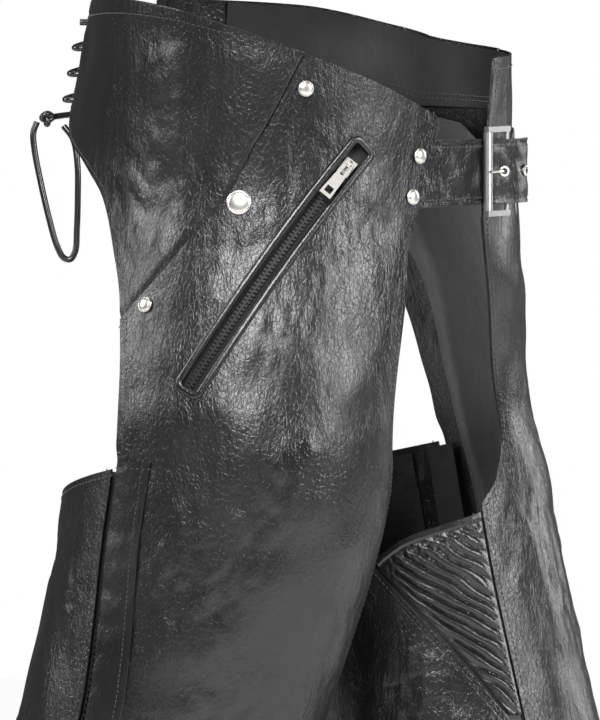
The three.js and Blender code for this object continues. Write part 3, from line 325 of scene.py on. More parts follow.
def frameAt(side, turn, z):
    up = unit(skin(side, turn, z + 0.5) - skin(side, turn, z - 0.5))
    forward = unit(skin(side, turn - 0.5, z) - skin(side, turn + 0.5, z))
    normal = unit(np.cross(forward, up))
    out = skin(side, turn, z, -1) - skin(side, turn, z, 0)
    flip = np.sign(np.sum(normal * out, -1, keepdims=True))
    return up, forward, normal * flip


# The pocket's line.
def pocketLine(side, t):
    return onSkin(side, mix(pocketFoot[0], pocketTop[0], t), mix(pocketFoot[1], pocketTop[1], t))


def pocketLength(side):
    a, b, c = (pocketLine(side, t) for t in (0, 0.5, 1))
    chord = np.linalg.norm(c - a)
    radius = np.linalg.norm(a - b) * np.linalg.norm(c - b) * chord / (2 * np.linalg.norm(np.cross(a - b,
            c - b)))
    return 2 * radius * math.asin(chord / (2 * radius))


# (along, across, up) on the pocket's own flat arc, like the slider's track.
def pocketTrack(side):
    foot, middle, top = (pocketLine(side, t) for t in (0.0, 0.5, 1.0))
    a, b = foot - middle, top - middle
    cross = np.cross(a, b)
    centre = middle + np.cross(b * np.dot(a, a) - a * np.dot(b, b), cross) / (2 * np.dot(cross, cross))
    axis = unit(-cross)
    radius = np.linalg.norm(foot - centre)
    start = (foot - centre) / radius
    over = np.cross(axis, start)
    sweepWay = np.sign(np.dot(over, top - foot))
    length = pocketLength(side)

    def turnedTo(mm):
        t = sweepWay * np.asarray(mm, float)[..., None] / radius
        return start * np.cos(t) + over * np.sin(t)

    way = axis * sweepWay

    def lean(mm, t):
        z = mix(pocketFoot[1], pocketTop[1], t)
        normal = frameAt(side, turnAt(side, mix(pocketFoot[0], pocketTop[0], t), z), z)[2]
        return math.atan2(-np.dot(normal, way), np.dot(normal, turnedTo(mm)))

    tilt = (lean(0.0, 0.0) + lean(length, 1.0)) / 2

    def axesAt(mm):
        radial = turnedTo(mm)
        return radial * math.cos(tilt) - way * math.sin(tilt), way * math.cos(tilt) + radial * math.sin(tilt)

    def point(mm, across, up):
        out, side2 = axesAt(mm)
        return centre + turnedTo(mm) * radius + side2 * np.asarray(across)[...,
                None] + out * np.asarray(up)[..., None]

    # The same three numbers, read back from points.
    def readBack(points):
        v = points - centre
        mm = sweepWay * radius * np.arctan2(v @ over, v @ start)
        rise, aside = np.hypot(v @ over, v @ start) - radius, v @ way
        return mm, aside * math.cos(tilt) + rise * math.sin(tilt), rise * math.cos(tilt) - aside * math.sin(tilt)

    return point, axesAt, length, readBack


# Where a point of that track falls on the leather, and up from it.
def onLeather(side, track, along, across, up):
    point, axesAt, length, _ = track
    along, across, up = np.broadcast_arrays(*(np.asarray(v, float) for v in (along, across, up)))
    target = point(along, across, 0 * along)
    out = axesAt(along)[0]
    t = along / length
    z = mix(pocketFoot[1], pocketTop[1], t)
    turn = turnAt(side, mix(pocketFoot[0], pocketTop[0], t), z)
    for _ in range(5):
        upward, forward, normal = frameAt(side, turn, z)
        off = target - skin(side, turn, z)
        off = off - out * (np.sum(off * normal, -1) / np.sum(out * normal, -1))[..., None]
        skew = np.sum(forward * upward, -1)
        rise = (np.sum(off * upward, -1) - skew * np.sum(off * forward, -1)) / (1 - skew**2)
        turn = turn - (np.sum(off * forward, -1) - rise * skew) * degreesPerMm(side, turn, z)
        z = z + rise * upward[..., 2]
    return skin(side, turn, z, -up), frameAt(side, turn, z)[2]


# Meshes from whole arrays.
def meshFrom(name, points, faces, look, body, replaced=(), angle=40):
    points, faces = np.asarray(points, float).reshape(-1, 3) / 1000, np.asarray(faces)
    first, second, third = (points[faces[:, k]] for k in (0, 1, 2))
    last = points[faces[:, -1]]
    volume = np.sum(first * np.cross(second, third)) + (np.sum(first * np.cross(third,
            last)) if faces.shape[1] == 4 else 0)
    if volume < 0:
        faces = faces[:, ::-1]
    mesh = bpy.data.meshes.new(name)
    mesh.vertices.add(len(points))
    mesh.vertices.foreach_set("co", points.astype(np.float32).ravel())
    mesh.loops.add(faces.size)
    mesh.loops.foreach_set("vertex_index", faces.astype(np.int32).ravel())
    mesh.polygons.add(len(faces))
    mesh.polygons.foreach_set("loop_start", np.arange(0, faces.size, faces.shape[1], dtype=np.int32))
    mesh.polygons.foreach_set("use_smooth", np.ones(len(faces), bool))
    mesh.update(calc_edges=True)
    mesh.validate()
    mesh.set_sharp_from_angle(angle=math.radians(angle))
    mesh.materials.append(look)
    made = bpy.data.objects.new(name, mesh)
    bpy.context.scene.collection.objects.link(made)
    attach(made, body)
    if replaced:
        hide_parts(*replaced)
    return made


# Faces of a closed shell between two grids [columns, rows], without the faces that keep leaves out.
def shellFaces(shape, keep=None):
    nu, nv = shape
    index = np.arange(nu * nv).reshape(nu, nv)
    quads = np.stack([index[:-1, :-1], index[1:, :-1], index[1:, 1:], index[:-1, 1:]], -1).reshape(-1, 4)
    if keep is not None:
        quads = quads[keep.ravel()]
    edges = np.concatenate([quads[:, [k, (k + 1) % 4]] for k in range(4)])
    total = nu * nv
    rim = edges[~np.isin(edges[:, 0] * total + edges[:, 1], edges[:, 1] * total + edges[:, 0])]
    sides = np.stack([rim[:, 1], rim[:, 0], rim[:, 0] + total, rim[:, 1] + total], -1)
    return np.concatenate([quads, quads[:, ::-1] + total, sides])


def shell(name, outer, inner, look, body, replaced=(), keep=None):
    faces = shellFaces(outer.shape[:2], keep)
    used, faces = np.unique(faces, return_inverse=True)
    points = np.concatenate([outer.reshape(-1, 3), inner.reshape(-1, 3)])[used]
    return meshFrom(name, points, faces.reshape(-1, 4), look, body, replaced)


# Unit normals of a grid, turned away from the given inner grid.
def normalsOf(grid, inner):
    n = unit(np.cross(np.gradient(grid, axis=0), np.gradient(grid, axis=1)))
    return n * np.sign(np.sum(n * (grid - inner), -1, keepdims=True))


# A tube or any closed outline [across, up] carried along points, capped at both ends or looped.
def sweep(points, outline, normals=None, looped=False):
    points = np.asarray(points, float)
    n, m = len(points), len(outline)
    ahead = np.roll(points, -1, 0) - np.roll(points, 1, 0) if looped else np.gradient(points, axis=0)
    ahead = unit(ahead)
    if normals is None:
        normals = np.empty_like(points)
        start = np.cross(ahead[0], (0.3, 0.5, 0.8))
        for k in range(n):
            start = start - ahead[k] * np.dot(start, ahead[k])
            start = start / np.linalg.norm(start)
            normals[k] = start
    over = unit(np.cross(normals, ahead))
    rings = points[:, None] + over[:, None] * outline[None, :, :1] + normals[:, None] * outline[None, :, 1:]
    a = np.arange(n if looped else n - 1)[:, None] * m
    b = (a + m) % (n * m)
    k = np.arange(m)[None]
    k2 = (k + 1) % m
    faces = np.stack([a + k, a + k2, b + k2, b + k], -1).reshape(-1, 4)
    vertices = rings.reshape(-1, 3)
    if not looped:
        k = np.arange(m // 2 - 1)
        cap = np.stack([k, k + 1, m - 2 - k, m - 1 - k], -1)
        faces = np.concatenate([faces, cap[:, ::-1], cap + (n - 1) * m])
    return vertices, faces


def circle(radius, sides):
    a = np.arange(sides) * 2 * np.pi / sides
    return np.stack([np.cos(a), np.sin(a)], -1) * radius


def lengthsOf(points):
    return np.concatenate([[0], np.cumsum(np.linalg.norm(np.diff(points, axis=0), axis=1))])


def resample(points, count, *others):
    s = lengthsOf(points)
    want = np.linspace(0, s[-1], count)
    made = [np.stack([np.interp(want, s, v[:, k]) for k in range(v.shape[1])], -1) for v in (points,
            *others)]
    return made if others else made[0]


# Centripetal curve through points.
def smoothLine(points, count=200):
    p = np.asarray(points, float)
    p = np.concatenate([[2 * p[0] - p[1]], p, [2 * p[-1] - p[-2]]])
    gap = np.sqrt(np.linalg.norm(np.diff(p, axis=0), axis=1))
    t = np.linspace(0, 1, 24, endpoint=False)[:, None]
    parts = []
    for i in range(1, len(p) - 2):
        a, b, c = gap[i - 1], gap[i], gap[i + 1]
        m1 = (p[i] - p[i - 1]) / a - (p[i + 1] - p[i - 1]) / (a + b) + (p[i + 1] - p[i]) / b
        m2 = (p[i + 1] - p[i]) / b - (p[i + 2] - p[i]) / (b + c) + (p[i + 2] - p[i + 1]) / c
        m1, m2 = m1 * b, m2 * b
        parts.append((2 * t**3 - 3 * t**2 + 1) * p[i] + (t**3 - 2 * t**2 + t) * m1 + (3 * t**2 - 2 * t**3) * p[i + 1]
                     + (t**3 - t**2) * m2)
    return resample(np.concatenate([*parts, p[-2:-1]]), count)


# Copies of one small closed form, each turned to its own axes.
def scatter(name, form, places, xAxes, zAxes, look, body, replaced=()):
    vertices, faces = form
    x, z = unit(xAxes), unit(zAxes)
    y = unit(np.cross(z, x))
    x = np.cross(y, z)
    points = places[:, None] + vertices[None, :, :1] * x[:, None] + vertices[None, :, 1:2] * y[:,
            None] + vertices[None, :, 2:] * z[:, None]
    allFaces = faces[None] + (np.arange(len(places)) * len(vertices))[:, None, None]
    return meshFrom(name, points, allFaces.reshape(-1, faces.shape[1]), look, body, replaced)


# A thread that shows between two holes: r = radius sqrt(1 - (x / half)^4), sunk at both ends.
def stitchForm(half=1.25, radius=0.36, sides=6):
    x = np.array([-1, -0.8, -0.35, 0.35, 0.8, 1.0]) * half
    r = radius * np.sqrt(np.clip(1.02 - (x / half) ** 4, 0.02, 1))
    ring = circle(1, sides)
    sink = -radius * 1.3 * (x / half) ** 4
    v = np.stack([np.repeat(x, sides), np.tile(ring[:, 0], 6) * np.repeat(r, sides),
                  np.tile(ring[:, 1], 6) * np.repeat(r, sides) + np.repeat(sink, sides)], -1)
    a = np.arange(5)[:, None] * sides
    k = np.arange(sides)[None]
    k2 = (k + 1) % sides
    f = np.stack([a + k, a + k2, a + sides + k2, a + sides + k], -1).reshape(-1, 4)
    ends = np.array([[0, 1, 2, 3], [0, 3, 4, 5]])
    return v, np.concatenate([f, ends[:, ::-1], ends + 5 * sides])


stitch = stitchForm()


# Thread along lines of (points, normals), at one pitch.
def stitches(name, lines, body="chaps", pitch=3.5, lift=0.12):
    places, ways, ups = [], [], []
    for points, normals in lines:
        s = lengthsOf(points)
        count = max(2, int(s[-1] / pitch))
        p, n = resample(points, count, normals)
        places.append(p + unit(n) * lift)
        ways.append(np.gradient(p, axis=0))
        ups.append(n)
    return scatter(name, stitch, np.concatenate(places), np.concatenate(ways), np.concatenate(ups), thread,
                   body)


# Smooth noise from seeded plane waves: mean 0, about 0.5 deep, features of the given size in mm.
def waves(points, size, seed, count=26, squash=(1, 1, 1)):
    random = np.random.default_rng(seed)
    k = random.normal(size=(count, 3)) * np.array(squash)
    k = k / np.linalg.norm(k, axis=1, keepdims=True) * (2 * np.pi / size) * random.uniform(0.6, 1.5,
            (count, 1))
    phase = random.uniform(0, 2 * np.pi, count)
    return np.cos(points @ k.T + phase).sum(-1) / np.sqrt(2 * count)


# A leather edge turned under and sewn: raised band, groove at the seam, rounded rim.
def turned(d, width, lift=0.7, groove=0.55, rim=1.3):
    edge = np.clip(1 - d / rim, 0, 1)
    return (lift * (1 - ease((d - width) / 1.6)) - groove * np.exp(-(((d - width) / 0.8) ** 2))
            - rim * 0.7 * (1 - np.sqrt(np.clip(1 - edge**2, 0, 1))))


edgeSteps = np.array([0, 0.3, 0.8, 1.6, 2.7, 3.8, 4.6, 5.2, 6.0, 6.8, 7.6, 8.6, 10.0, 12.0])


# Shares from 0 to 1 with close lines near both ends, for a width in mm.
def closeSteps(width, step, low=True, high=True):
    a = edgeSteps if low else np.array([0.0])
    b = edgeSteps if high else np.array([0.0])
    middle = width - a[-1] - b[-1]
    count = max(2, int(round(middle / step)))
    return np.concatenate([a, a[-1] + middle * np.arange(1, count) / count, (width - b)[::-1]]) / width


def acrossOf(grid, axis):
    steps = np.linalg.norm(np.diff(grid, axis=axis), axis=-1)
    start = np.zeros_like(np.take(steps, [0], axis=axis))
    return np.concatenate([start, np.cumsum(steps, axis=axis)], axis=axis)

# Leather panels.
gussetLook = {"slant": 0.62, "pitch": 8.2, "depth": 2.3, "binding": 0.8}
panelLook = {"thick": 1.4, "folds": 1.0, "foldSize": 46, "creases": 0.55, "creaseSize": 15, "step": 3.2}


# Hanging folds and finer creases, fading out on the sewn bands.
def drape(points, seed, calm, look=panelLook):
    big = waves(points, look["foldSize"], seed, squash=(1, 1, 0.55))
    fine = waves(points, look["creaseSize"], seed + 1, squash=(1, 1, 0.5))
    lines = 1 - np.abs(waves(points, look["creaseSize"] * 1.8, seed + 2, squash=(0.7, 0.7, 1.3))) * 2.2
    crease = -np.clip(lines, 0, 1) ** 3 * look["creases"]
    patch = ease((waves(points, 110, seed + 3) + 0.35) * 1.2)
    return (big * look["folds"] + (fine * look["creases"] + crease * 1.2) * patch) * calm


# One leather sheet: base points, an edge profile and the drape, with a smooth underside.
def leather(name, side, share, z, profile, seed, calm, look, replaced, lift=0.0, keep=None,
            thick=1.4, extra=None, settings=panelLook):
    base = onSkin(side, share, z)
    inner = onSkin(side, share, z, thick - lift)
    normal = normalsOf(base, onSkin(side, share, z, 6.0))
    rise = profile + drape(base, seed, calm, settings) + lift
    if extra is not None:
        rise = rise + extra
    outer = base + normal * rise[..., None]
    under = inner + normal * (drape(base, seed, calm, settings))[..., None]
    shell(name, outer, under, look, "chaps", replaced, keep)
    return outer, normal


for side in sideNames:
    seed = 10 if side == "right" else 60
    cols = closeSteps(300.0, panelLook["step"])
    rows = np.concatenate([closeSteps(350.0, panelLook["step"], high=False),
                           1 + np.concatenate([np.arange(1, 96) / 97, (609 - edgeSteps[::-1]) / 609])])
    c = cols[:, None]
    r = rows[None, :]
    top = np.minimum(through(yokeLine, c), through(waistLine[side], c)) - 0.5
    z = np.where(r <= 1, mix(top, knee, r), mix(knee, hem, r - 1))
    slit = 2.4 * degreesPerMm(side, through(rearEdge[side], z),
                              z) / (through(rearEdge[side], z) - through(frontEdge[side], z))
    start = slit * ease((-160 - z) / 14)
    share = mix(start, 0.997, c)
    base = onSkin(side, share, z)
    fromRear = acrossOf(base, 0)
    fromFront = fromRear[-1:] - fromRear
    slope = np.gradient(top[:, 0], fromRear[:, 0])
    fromTop = (top - z) / np.sqrt(1 + slope[:, None] ** 2)
    fromHem = z - hem
    profile = np.minimum.reduce([turned(fromRear, 7.6), turned(fromFront, 5.2),
                                 turned(fromTop, 6.8, 1.15, 0.8), turned(fromHem, 10.0)])
    profile = np.where(np.minimum.reduce([fromRear, fromFront, fromTop, fromHem]) > 14, 0, profile)
    calm = ease(np.minimum.reduce([fromRear, fromFront, fromTop * 0.8, fromHem]) / 26)
    # The opening for the pocket is left out of the grid; its rim covers the cut.
    length = pocketLength(side)
    along, across, up = pocketTrack(side)[3](base)
    across = np.where(np.abs(up) < 12, np.abs(across), 99)
    inPocket = (across < 5.1) & (along > 2.4) & (along < length - 2.4)
    cell = inPocket[:-1, :-1] | inPocket[1:, :-1] | inPocket[1:, 1:] | inPocket[:-1, 1:]
    nearPocket = np.exp(-((across / 16) ** 2)) * ease((along + 10) / 12) * ease((length + 10 - along) / 12)
    outer, normal = leather(f"FrontPanel.{side}", side, share, z, profile, seed,
                            calm * (1 - 0.85 * nearPocket),
                            blackLeather, [f"front_panel_{side}"], keep=~cell)
    lines = [(outer[-8], normal[-8]), (outer[:, 8], normal[:, 8])]
    zipRow = np.searchsorted(-z[10], 165)
    lines.append((outer[10, :zipRow], normal[10, :zipRow]))
    lines.append((outer[:, -13], normal[:, -13]))
    stitches(f"FrontStitches.{side}", lines)

    # The yoke tucks under the front panel along its slanted seam.
    c = closeSteps(250.0, 3.0, high=False)[:, None] * yokeEnd[side]
    r = closeSteps(130.0, 3.0, high=False)[None, :]
    top = through(waistLine[side], c)
    seam = np.minimum(through(yokeLine, c) - 5, top - 2)
    z = mix(top, seam, r)
    tuck = ease((through(yokeLine, c) + 3 - z) / 4)
    share = np.broadcast_to(c, z.shape)
    base = onSkin(side, share, z)
    fromRear = acrossOf(base, 0)
    slope = np.gradient(top[:, 0], fromRear[:, 0])
    fromTop = (top - z) / np.sqrt(1 + slope[:, None] ** 2)
    profile = np.minimum(turned(fromRear, 7.6), turned(fromTop, 7.6))
    profile = np.where(np.minimum(fromRear, fromTop) > 14, 0, profile)
    fromSeam = (z - through(yokeLine, c)) * 0.8
    calm = ease(np.minimum.reduce([fromRear, fromTop, np.maximum(fromSeam, 0) * 1.2]) / 24)
    outer, normal = leather(f"HipYoke.{side}", side, share, z, profile, seed + 5, calm,
                            blackLeather,
                            [f"hip_yoke_{side}"], extra=-1.8 * tuck)
    stitches(f"YokeStitches.{side}", [(outer[10], normal[10]), (outer[:, 10], normal[:, 10])])

    # Rear and inner panel, hemmed along the crotch.
    width = 0.19
    c = closeSteps(420.0, 4.0)[:, None]
    r = rows[None, :]
    top = through(crotchLine, mix(1 + width + 0.01, 2.0, c)) - 0.5
    z = np.where(r <= 1, mix(top, knee, r), mix(knee, hem, r - 1))
    tip = 1 + width * np.clip((z + 352) / (-241 + 352), 0, 1)
    slitRear = 2.4 * degreesPerMm(side, through(rearEdge[side], z),
                                  z) / (360 + through(frontEdge[side], z) - through(rearEdge[side], z))
    share = mix(tip + 0.004, 2 - slitRear, c)
    base = onSkin(side, share, z)
    fromSeam = acrossOf(base, 0)
    fromZip = fromSeam[-1:] - fromSeam
    slope = np.gradient(top[:, 0], fromSeam[:, 0])
    fromTop = (top - z) / np.sqrt(1 + slope[:, None] ** 2)
    fromHem = z - hem
    profile = np.minimum.reduce([turned(fromSeam, 5.2, 0.3), turned(fromZip, 5.2), turned(fromTop, 8.6),
                                 turned(fromHem, 10.0)])
    profile = np.where(np.minimum.reduce([fromSeam, fromZip, fromTop, fromHem]) > 14, 0, profile)
    calm = ease(np.minimum.reduce([fromSeam, fromZip, fromTop, fromHem]) / 26)
    outer, normal = leather(f"RearPanel.{side}", side, share, z, profile, seed + 9, calm,
                            blackLeather,
                            [f"rear_panel_{side}"])
    stitches(f"RearStitches.{side}", [(outer[-8], normal[-8]), (outer[:, 11], normal[:, 11]),
                                      (outer[7], normal[7]),
                                      (outer[:, -13], normal[:, -13])])

    # Stretch gusset: slanting gathered ridges, flattened at the seams.
    # ridge = |sin(pi (z - 0.62 across) / pitch)|^0.7
    c = np.linspace(0, 1, 70)[:, None]
    r = np.linspace(0, 1, 150)[None, :]
    top = through(crotchLine, 1 + width * c) - 0.5
    z = mix(top, -336.0, r)
    share = mix(1.003, np.minimum(1 + width * np.clip((z + 352) / 111, 0, 1), 1 + width) - 0.004, c)
    base = onSkin(side, share, z)
    fromFront = acrossOf(base, 0)
    toRear = fromFront[-1:] - fromFront
    fromTop = top - z
    wobble = waves(base, 30, seed + 20) * 0.9
    phase = (z - fromFront * gussetLook["slant"]) / gussetLook["pitch"] + wobble * 0.35
    ridge = np.abs(np.sin(np.pi * phase)) ** 0.7
    hold = ease(fromFront / 7) * ease(toRear / 6) * ease((fromTop - 4) / 7)
    pucker = 0.5 * np.abs(np.sin(np.pi * fromFront / 4.4 + wobble)) * np.exp(-(((fromTop - 9) / 5) ** 2))
    band = gussetLook["binding"] * (1 - ease((fromTop - 3.5) / 1.2))
    profile = gussetLook["depth"] * (ridge - 0.55) * hold + pucker + band
    outer, normal = leather(f"StretchGusset.{side}", side, share, z, profile, seed + 15, hold * 0.4,
                            smoothLeather,
                            [f"stretch_gusset_{side}"])
    k = int(np.argmin(np.abs(fromFront[:, 60] - 4)))
    stitches(f"GussetStitches.{side}", [(outer[k], normal[k])])
    print("panels", side)

# Facings, linings, plackets and pocket bags.
facingEnd = {"right": 0.84, "left": 0.985}
facingLook = {"depth": 2.6, "thick": 0.8, "drop": 46, "puff": 0.35}
liningLook = {"depth": 3.2, "stand": 8.6, "rearDepth": 2.5, "thick": 0.8}
bagLook = {"depth": 9.0, "thick": 1.6}
placketLook = {"top": -171, "width": 25, "from": 3.1, "to": 28.0, "rise": 1.05}
for side in sideNames:
    seed = 210 if side == "right" else 260

    def thin(name, share, z, depth, thick, look, replaced, puff=0.0):
        base = onSkin(side, share, z, depth)
        normal = normalsOf(base, onSkin(side, share, z, depth + 5))
        move = waves(base, 40, seed) * puff
        outer = base + normal * move[..., None]
        shell(name, outer, onSkin(side, share, z, depth + thick) + normal * move[..., None], look, "chaps",
              replaced)
        return outer, normal

    c = closeSteps(280.0, 3.5)[:, None]
    share = mix(0.12, facingEnd[side], c)
    top = through(waistLine[side], share) - 1.5
    z = mix(top, np.maximum(top - facingLook["drop"], 36), closeSteps(46.0, 3.0)[None, :])
    share = np.broadcast_to(share, z.shape)
    outer, normal = thin(f"WaistFacing.{side}", share, z, facingLook["depth"], facingLook["thick"],
                         facingLeather, [f"waist_facing_{side}"], facingLook["puff"])
    under = onSkin(side, share, z, 3.6)
    stitches(f"FacingStitches.{side}", [(under[:, -8], -normal[:, -8]), (under[:, -12], -normal[:, -12])],
             lift=0.05)

    c = np.linspace(0, 1, 70)[:, None]
    share = mix(0.09, 0.985, c)
    r = np.concatenate([np.linspace(0, 1, 90), np.linspace(1, 2, 60)[1:]])[None, :]
    top = np.minimum(through(waistLine[side], share) - 50, mix(-26.5, 60, np.maximum(0, 0.8 - share) / 0.4))
    z = np.where(r <= 1, mix(top, knee, r), mix(knee, hem + 12, r - 1))
    share = np.broadcast_to(share, z.shape)
    stand = ease((share - 0.06) / 0.12) * (1 - ease((share - 0.86) / 0.1))
    thin(f"FrontLining.{side}", share, z, liningLook["depth"] + liningLook["stand"] * stand, liningLook["thick"],
         liningCloth, [f"front_lining_{side}"])

    c = np.linspace(0, 1, 80)[:, None]
    share = mix(0.99, 1.95, c)
    top = through(crotchLine, np.maximum(share, 1)) - 4
    z = np.where(r <= 1, mix(top, knee, r), mix(knee, hem + 12, r - 1))
    share = np.broadcast_to(share, z.shape)
    thin(f"RearLining.{side}", share, z, liningLook["rearDepth"], liningLook["thick"], liningCloth,
         [f"rear_lining_{side}"])

    c = np.linspace(0, 1, 40)[:, None]
    share = mix(0.22, 0.805, c)
    line = mix(pocketFoot[1], pocketTop[1], (share - pocketFoot[0]) / (pocketTop[0] - pocketFoot[0]))
    z = mix(line + 16, np.minimum(line - 20, -150), np.linspace(0, 1, 30)[None, :])
    share = np.broadcast_to(share, z.shape)
    thin(f"PocketBag.{side}", share, z, bagLook["depth"], bagLook["thick"], liningCloth,
         [f"pocket_bag_{side}"])

    # The placket beside the leg zip, sewn down along its far edge and across its top.
    c = closeSteps(float(placketLook["width"]), 2.0)[:, None]
    r = np.concatenate([closeSteps(170.0, 3.0, high=False), 1 + np.arange(1, 121) / 120])[None, :]
    z = np.broadcast_to(np.where(r <= 1, mix(placketLook["top"], knee, r), mix(knee, hem + 2, r - 1)),
                        (c.shape[0], r.shape[1]))
    turn = through(rearEdge[side], z)
    turn = turn - mix(placketLook["from"], placketLook["to"], c) * degreesPerMm(side, turn, z)
    base = skin(side, turn, z)
    normal = normalsOf(base, skin(side, turn, z, 5))
    d0 = np.broadcast_to(c * placketLook["width"], z.shape)
    d1 = placketLook["width"] - d0
    top = placketLook["top"] - z
    profile = np.minimum.reduce([turned(d1, 5.0, 0.35, 0.4, 0.9), turned(top, 3.4, 0.35, 0.4, 0.9),
                                 turned(d0, 3.0, 0.5, 0.2, 0.9)])
    wave = waves(base, 24, seed + 3) * 0.3 + waves(base, 9, seed + 4) * 0.12
    outer = base + normal * (placketLook["rise"] + profile + wave * ease(np.minimum(d1, top) / 6))[..., None]
    shell(f"ZipPlacket.{side}", outer, base + normal * 0.2, smoothLeather, "chaps",
          [f"zip_placket_{side}"])
    stitches(f"PlacketStitches.{side}", [(outer[-8], normal[-8]), (outer[:, 6], normal[:, 6])], pitch=3.2)
    print("linings", side)

# Pocket rims and zips.
rimLook = {"half": 2.25, "middle": 7.3, "corner": 4.0, "height": 1.3, "lift": 0.45}
zipLook = {"pitch": 1.35, "legPitch": 2.0, "legTape": 5.9, "legTeeth": 5.0, "pocketTeeth": 4.6}
toothBox = (np.array([[x, y, z] for x in (-0.75, 0.75) for y in (-1.55, 1.55) for z in (-0.7, 0.7)]),
            np.array([[0, 1, 3, 2], [4, 6, 7, 5], [0, 4, 5, 1], [2, 3, 7, 6], [0, 2, 6, 4], [1, 5, 7, 3]]))
for side in sideNames:
    track = pocketTrack(side)
    point, axesAt, length, _ = track
    # Rim: a rounded pad all round the opening.
    half, middle, corner = (rimLook[key] for key in ("half", "middle", "corner"))
    s = np.linspace(0, 1, 90)
    low, high = 3 - (middle - 5), length - 3 + (middle - 5)
    quarter = np.linspace(0, np.pi / 2, 8)
    inset = middle - corner
    sideA = np.stack([mix(low + corner, high - corner, s), np.full(90, middle)], -1)
    arcA = np.stack([high - corner + corner * np.sin(quarter), inset + corner * np.cos(quarter)], -1)
    arcC = np.stack([low + corner - corner * np.sin(quarter), -(inset + corner * np.cos(quarter))], -1)
    loop = np.concatenate([sideA, arcA[1:], (arcA * [1, -1])[::-1][:-1], (sideA * [1, -1])[::-1],
                           arcC[1:], (arcC * [1, -1])[::-1][:-1]])
    a = np.linspace(0, np.pi, 12)
    outline = np.concatenate([np.stack([-np.cos(a) * half, np.sin(a) * rimLook["height"] + 0.1], -1),
                              [[half, 0.05], [-half, 0.05]]])
    path, up = onLeather(side, track, loop[:, 0], loop[:, 1], np.full(len(loop), rimLook["lift"]))
    keepOne = np.concatenate([[True], np.linalg.norm(np.diff(path, axis=0), axis=1) > 0.2])
    path, up = path[keepOne], up[keepOne]
    vertices, faces = sweep(path, outline, up, looped=True)
    meshFrom(f"PocketRim.{side}", vertices, faces, smoothLeather, "chaps",
             [f"pocket_welt_{side}"])
    # Tape and teeth.
    mm = np.linspace(-1.5, length + 1.5, 80)
    tape = np.array([[-5.2, -5.9], [5.2, -5.9], [5.2, -5.3], [-5.2, -5.3]])
    line = point(mm, 0 * mm, 0 * mm)
    vertices, faces = sweep(line, tape, axesAt(mm)[0])
    meshFrom(f"PocketTape.{side}", vertices, faces, tapeCloth, "chaps",
             [f"pocket_zip_chain_{side}"])
    mm = np.arange(0, length - 18, zipLook["pitch"])
    way = np.where(np.arange(len(mm)) % 2, 0.85, -0.85)
    places = point(mm, way, 0 * mm - zipLook["pocketTeeth"])
    scatter(f"PocketTeeth.{side}", toothBox, places, np.gradient(point(mm, 0 * mm, 0 * mm), axis=0),
            axesAt(mm)[0], teethMetal,
            "chaps")
    # Leg zip: tapes folded under the slit, and its teeth.
    z = np.linspace(-179, hem + 9, 200)
    turn = through(rearEdge[side], z)
    line = skin(side, turn, z, zipLook["legTape"])
    _, _, up = frameAt(side, turn, z)
    vertices, faces = sweep(line, np.array([[-9, -0.3], [9, -0.3], [9, 0.3], [-9, 0.3]]), up)
    meshFrom(f"LegTape.{side}", vertices, faces, tapeCloth, "chaps", [f"leg_zip_chain_{side}"])
    z = np.arange(-182, hem + 26, -zipLook["legPitch"])
    turn = through(rearEdge[side], z)
    _, _, up = frameAt(side, turn, z)
    line = skin(side, turn, z, zipLook["legTeeth"])
    over = unit(np.cross(up, np.gradient(line, axis=0)))
    scatter(f"LegTeeth.{side}", toothBox, line + over * np.where(np.arange(len(z)) % 2, 0.9, -0.9)[:, None],
            np.gradient(line, axis=0), up, teethMetal, "chaps")
print("zips")

# Belt, chape and lacing.
strapMiddle, strapHalf = 2.5, 21.0
roots = [skin("right", t, strapMiddle, 3.5) for t in (-58, -63, -68, -72)]
free = [(-32, -110.6), (-14, -115.6), (1, -118.6), (8, -120.2), (14, -125.2), (23, -130.6), (31, -131.6),
        (38, -131), (46, -127.5), (53, -121.5)]
beltLine = smoothLine(roots + [np.array([x, y, strapMiddle]) for x, y in free], 110)


# A strap along a level line: columns along it, rows down its height.
def strap(name, line, halfHeight, thick, look, replaced, hold=None, taper=0.0, folds=0.0, seed=0, tip=0.0):
    n = len(line)
    s = np.linspace(0, 1, n)
    rows = closeSteps(2 * halfHeight, 2.2) * 2 - 1
    ahead = unit(np.gradient(line, axis=0))
    out = np.stack([ahead[:, 1], -ahead[:, 0], 0 * s], -1)
    height = -rows[None, :] * halfHeight * (1 - taper * ease(s))[:, None]
    # The end is rounded: h(s) = sqrt(1 - (1 - d / tip)^4), with d the distance from the end.
    d = lengthsOf(line)[-1] - lengthsOf(line)
    if tip:
        height = height * np.sqrt(np.clip(1 - np.clip(1 - d / tip, 0, 0.97) ** 4, 0, 1))[:, None]
    centre = np.broadcast_to(line[:, None], (n, len(rows), 3)).copy()
    centre[..., 2] += height
    if hold is not None:
        edge = skin("right", -72.0, strapMiddle + height) - skin("right", -72.0, strapMiddle)
        centre[..., :2] += (edge * hold[:, None, None])[..., :2]
    fromEdge = np.minimum(halfHeight - np.abs(height), d[:, None])
    profile = turned(fromEdge, 3.6, 0.25, 0.45, 1.1)
    profile = profile + waves(centre, 13, seed,
                              squash=(1, 1, 0.7)) * folds * ease(fromEdge / 6) * ease(d / 20)[:, None]
    outer = centre + out[:, None] * (thick / 2 + profile)[..., None]
    inner = centre - out[:, None] * (thick / 2 + 0.5 * turned(fromEdge, 3.6, 0, 0.2, 1.0))[..., None]
    shell(name, outer, inner, look, "chaps", replaced)
    normal = np.broadcast_to(out[:, None], outer.shape)
    stitches(name + "Stitches", [(outer[4:-4, 6], normal[4:-4, 6]), (outer[4:-4, -7], normal[4:-4, -7])],
             pitch=3.2)


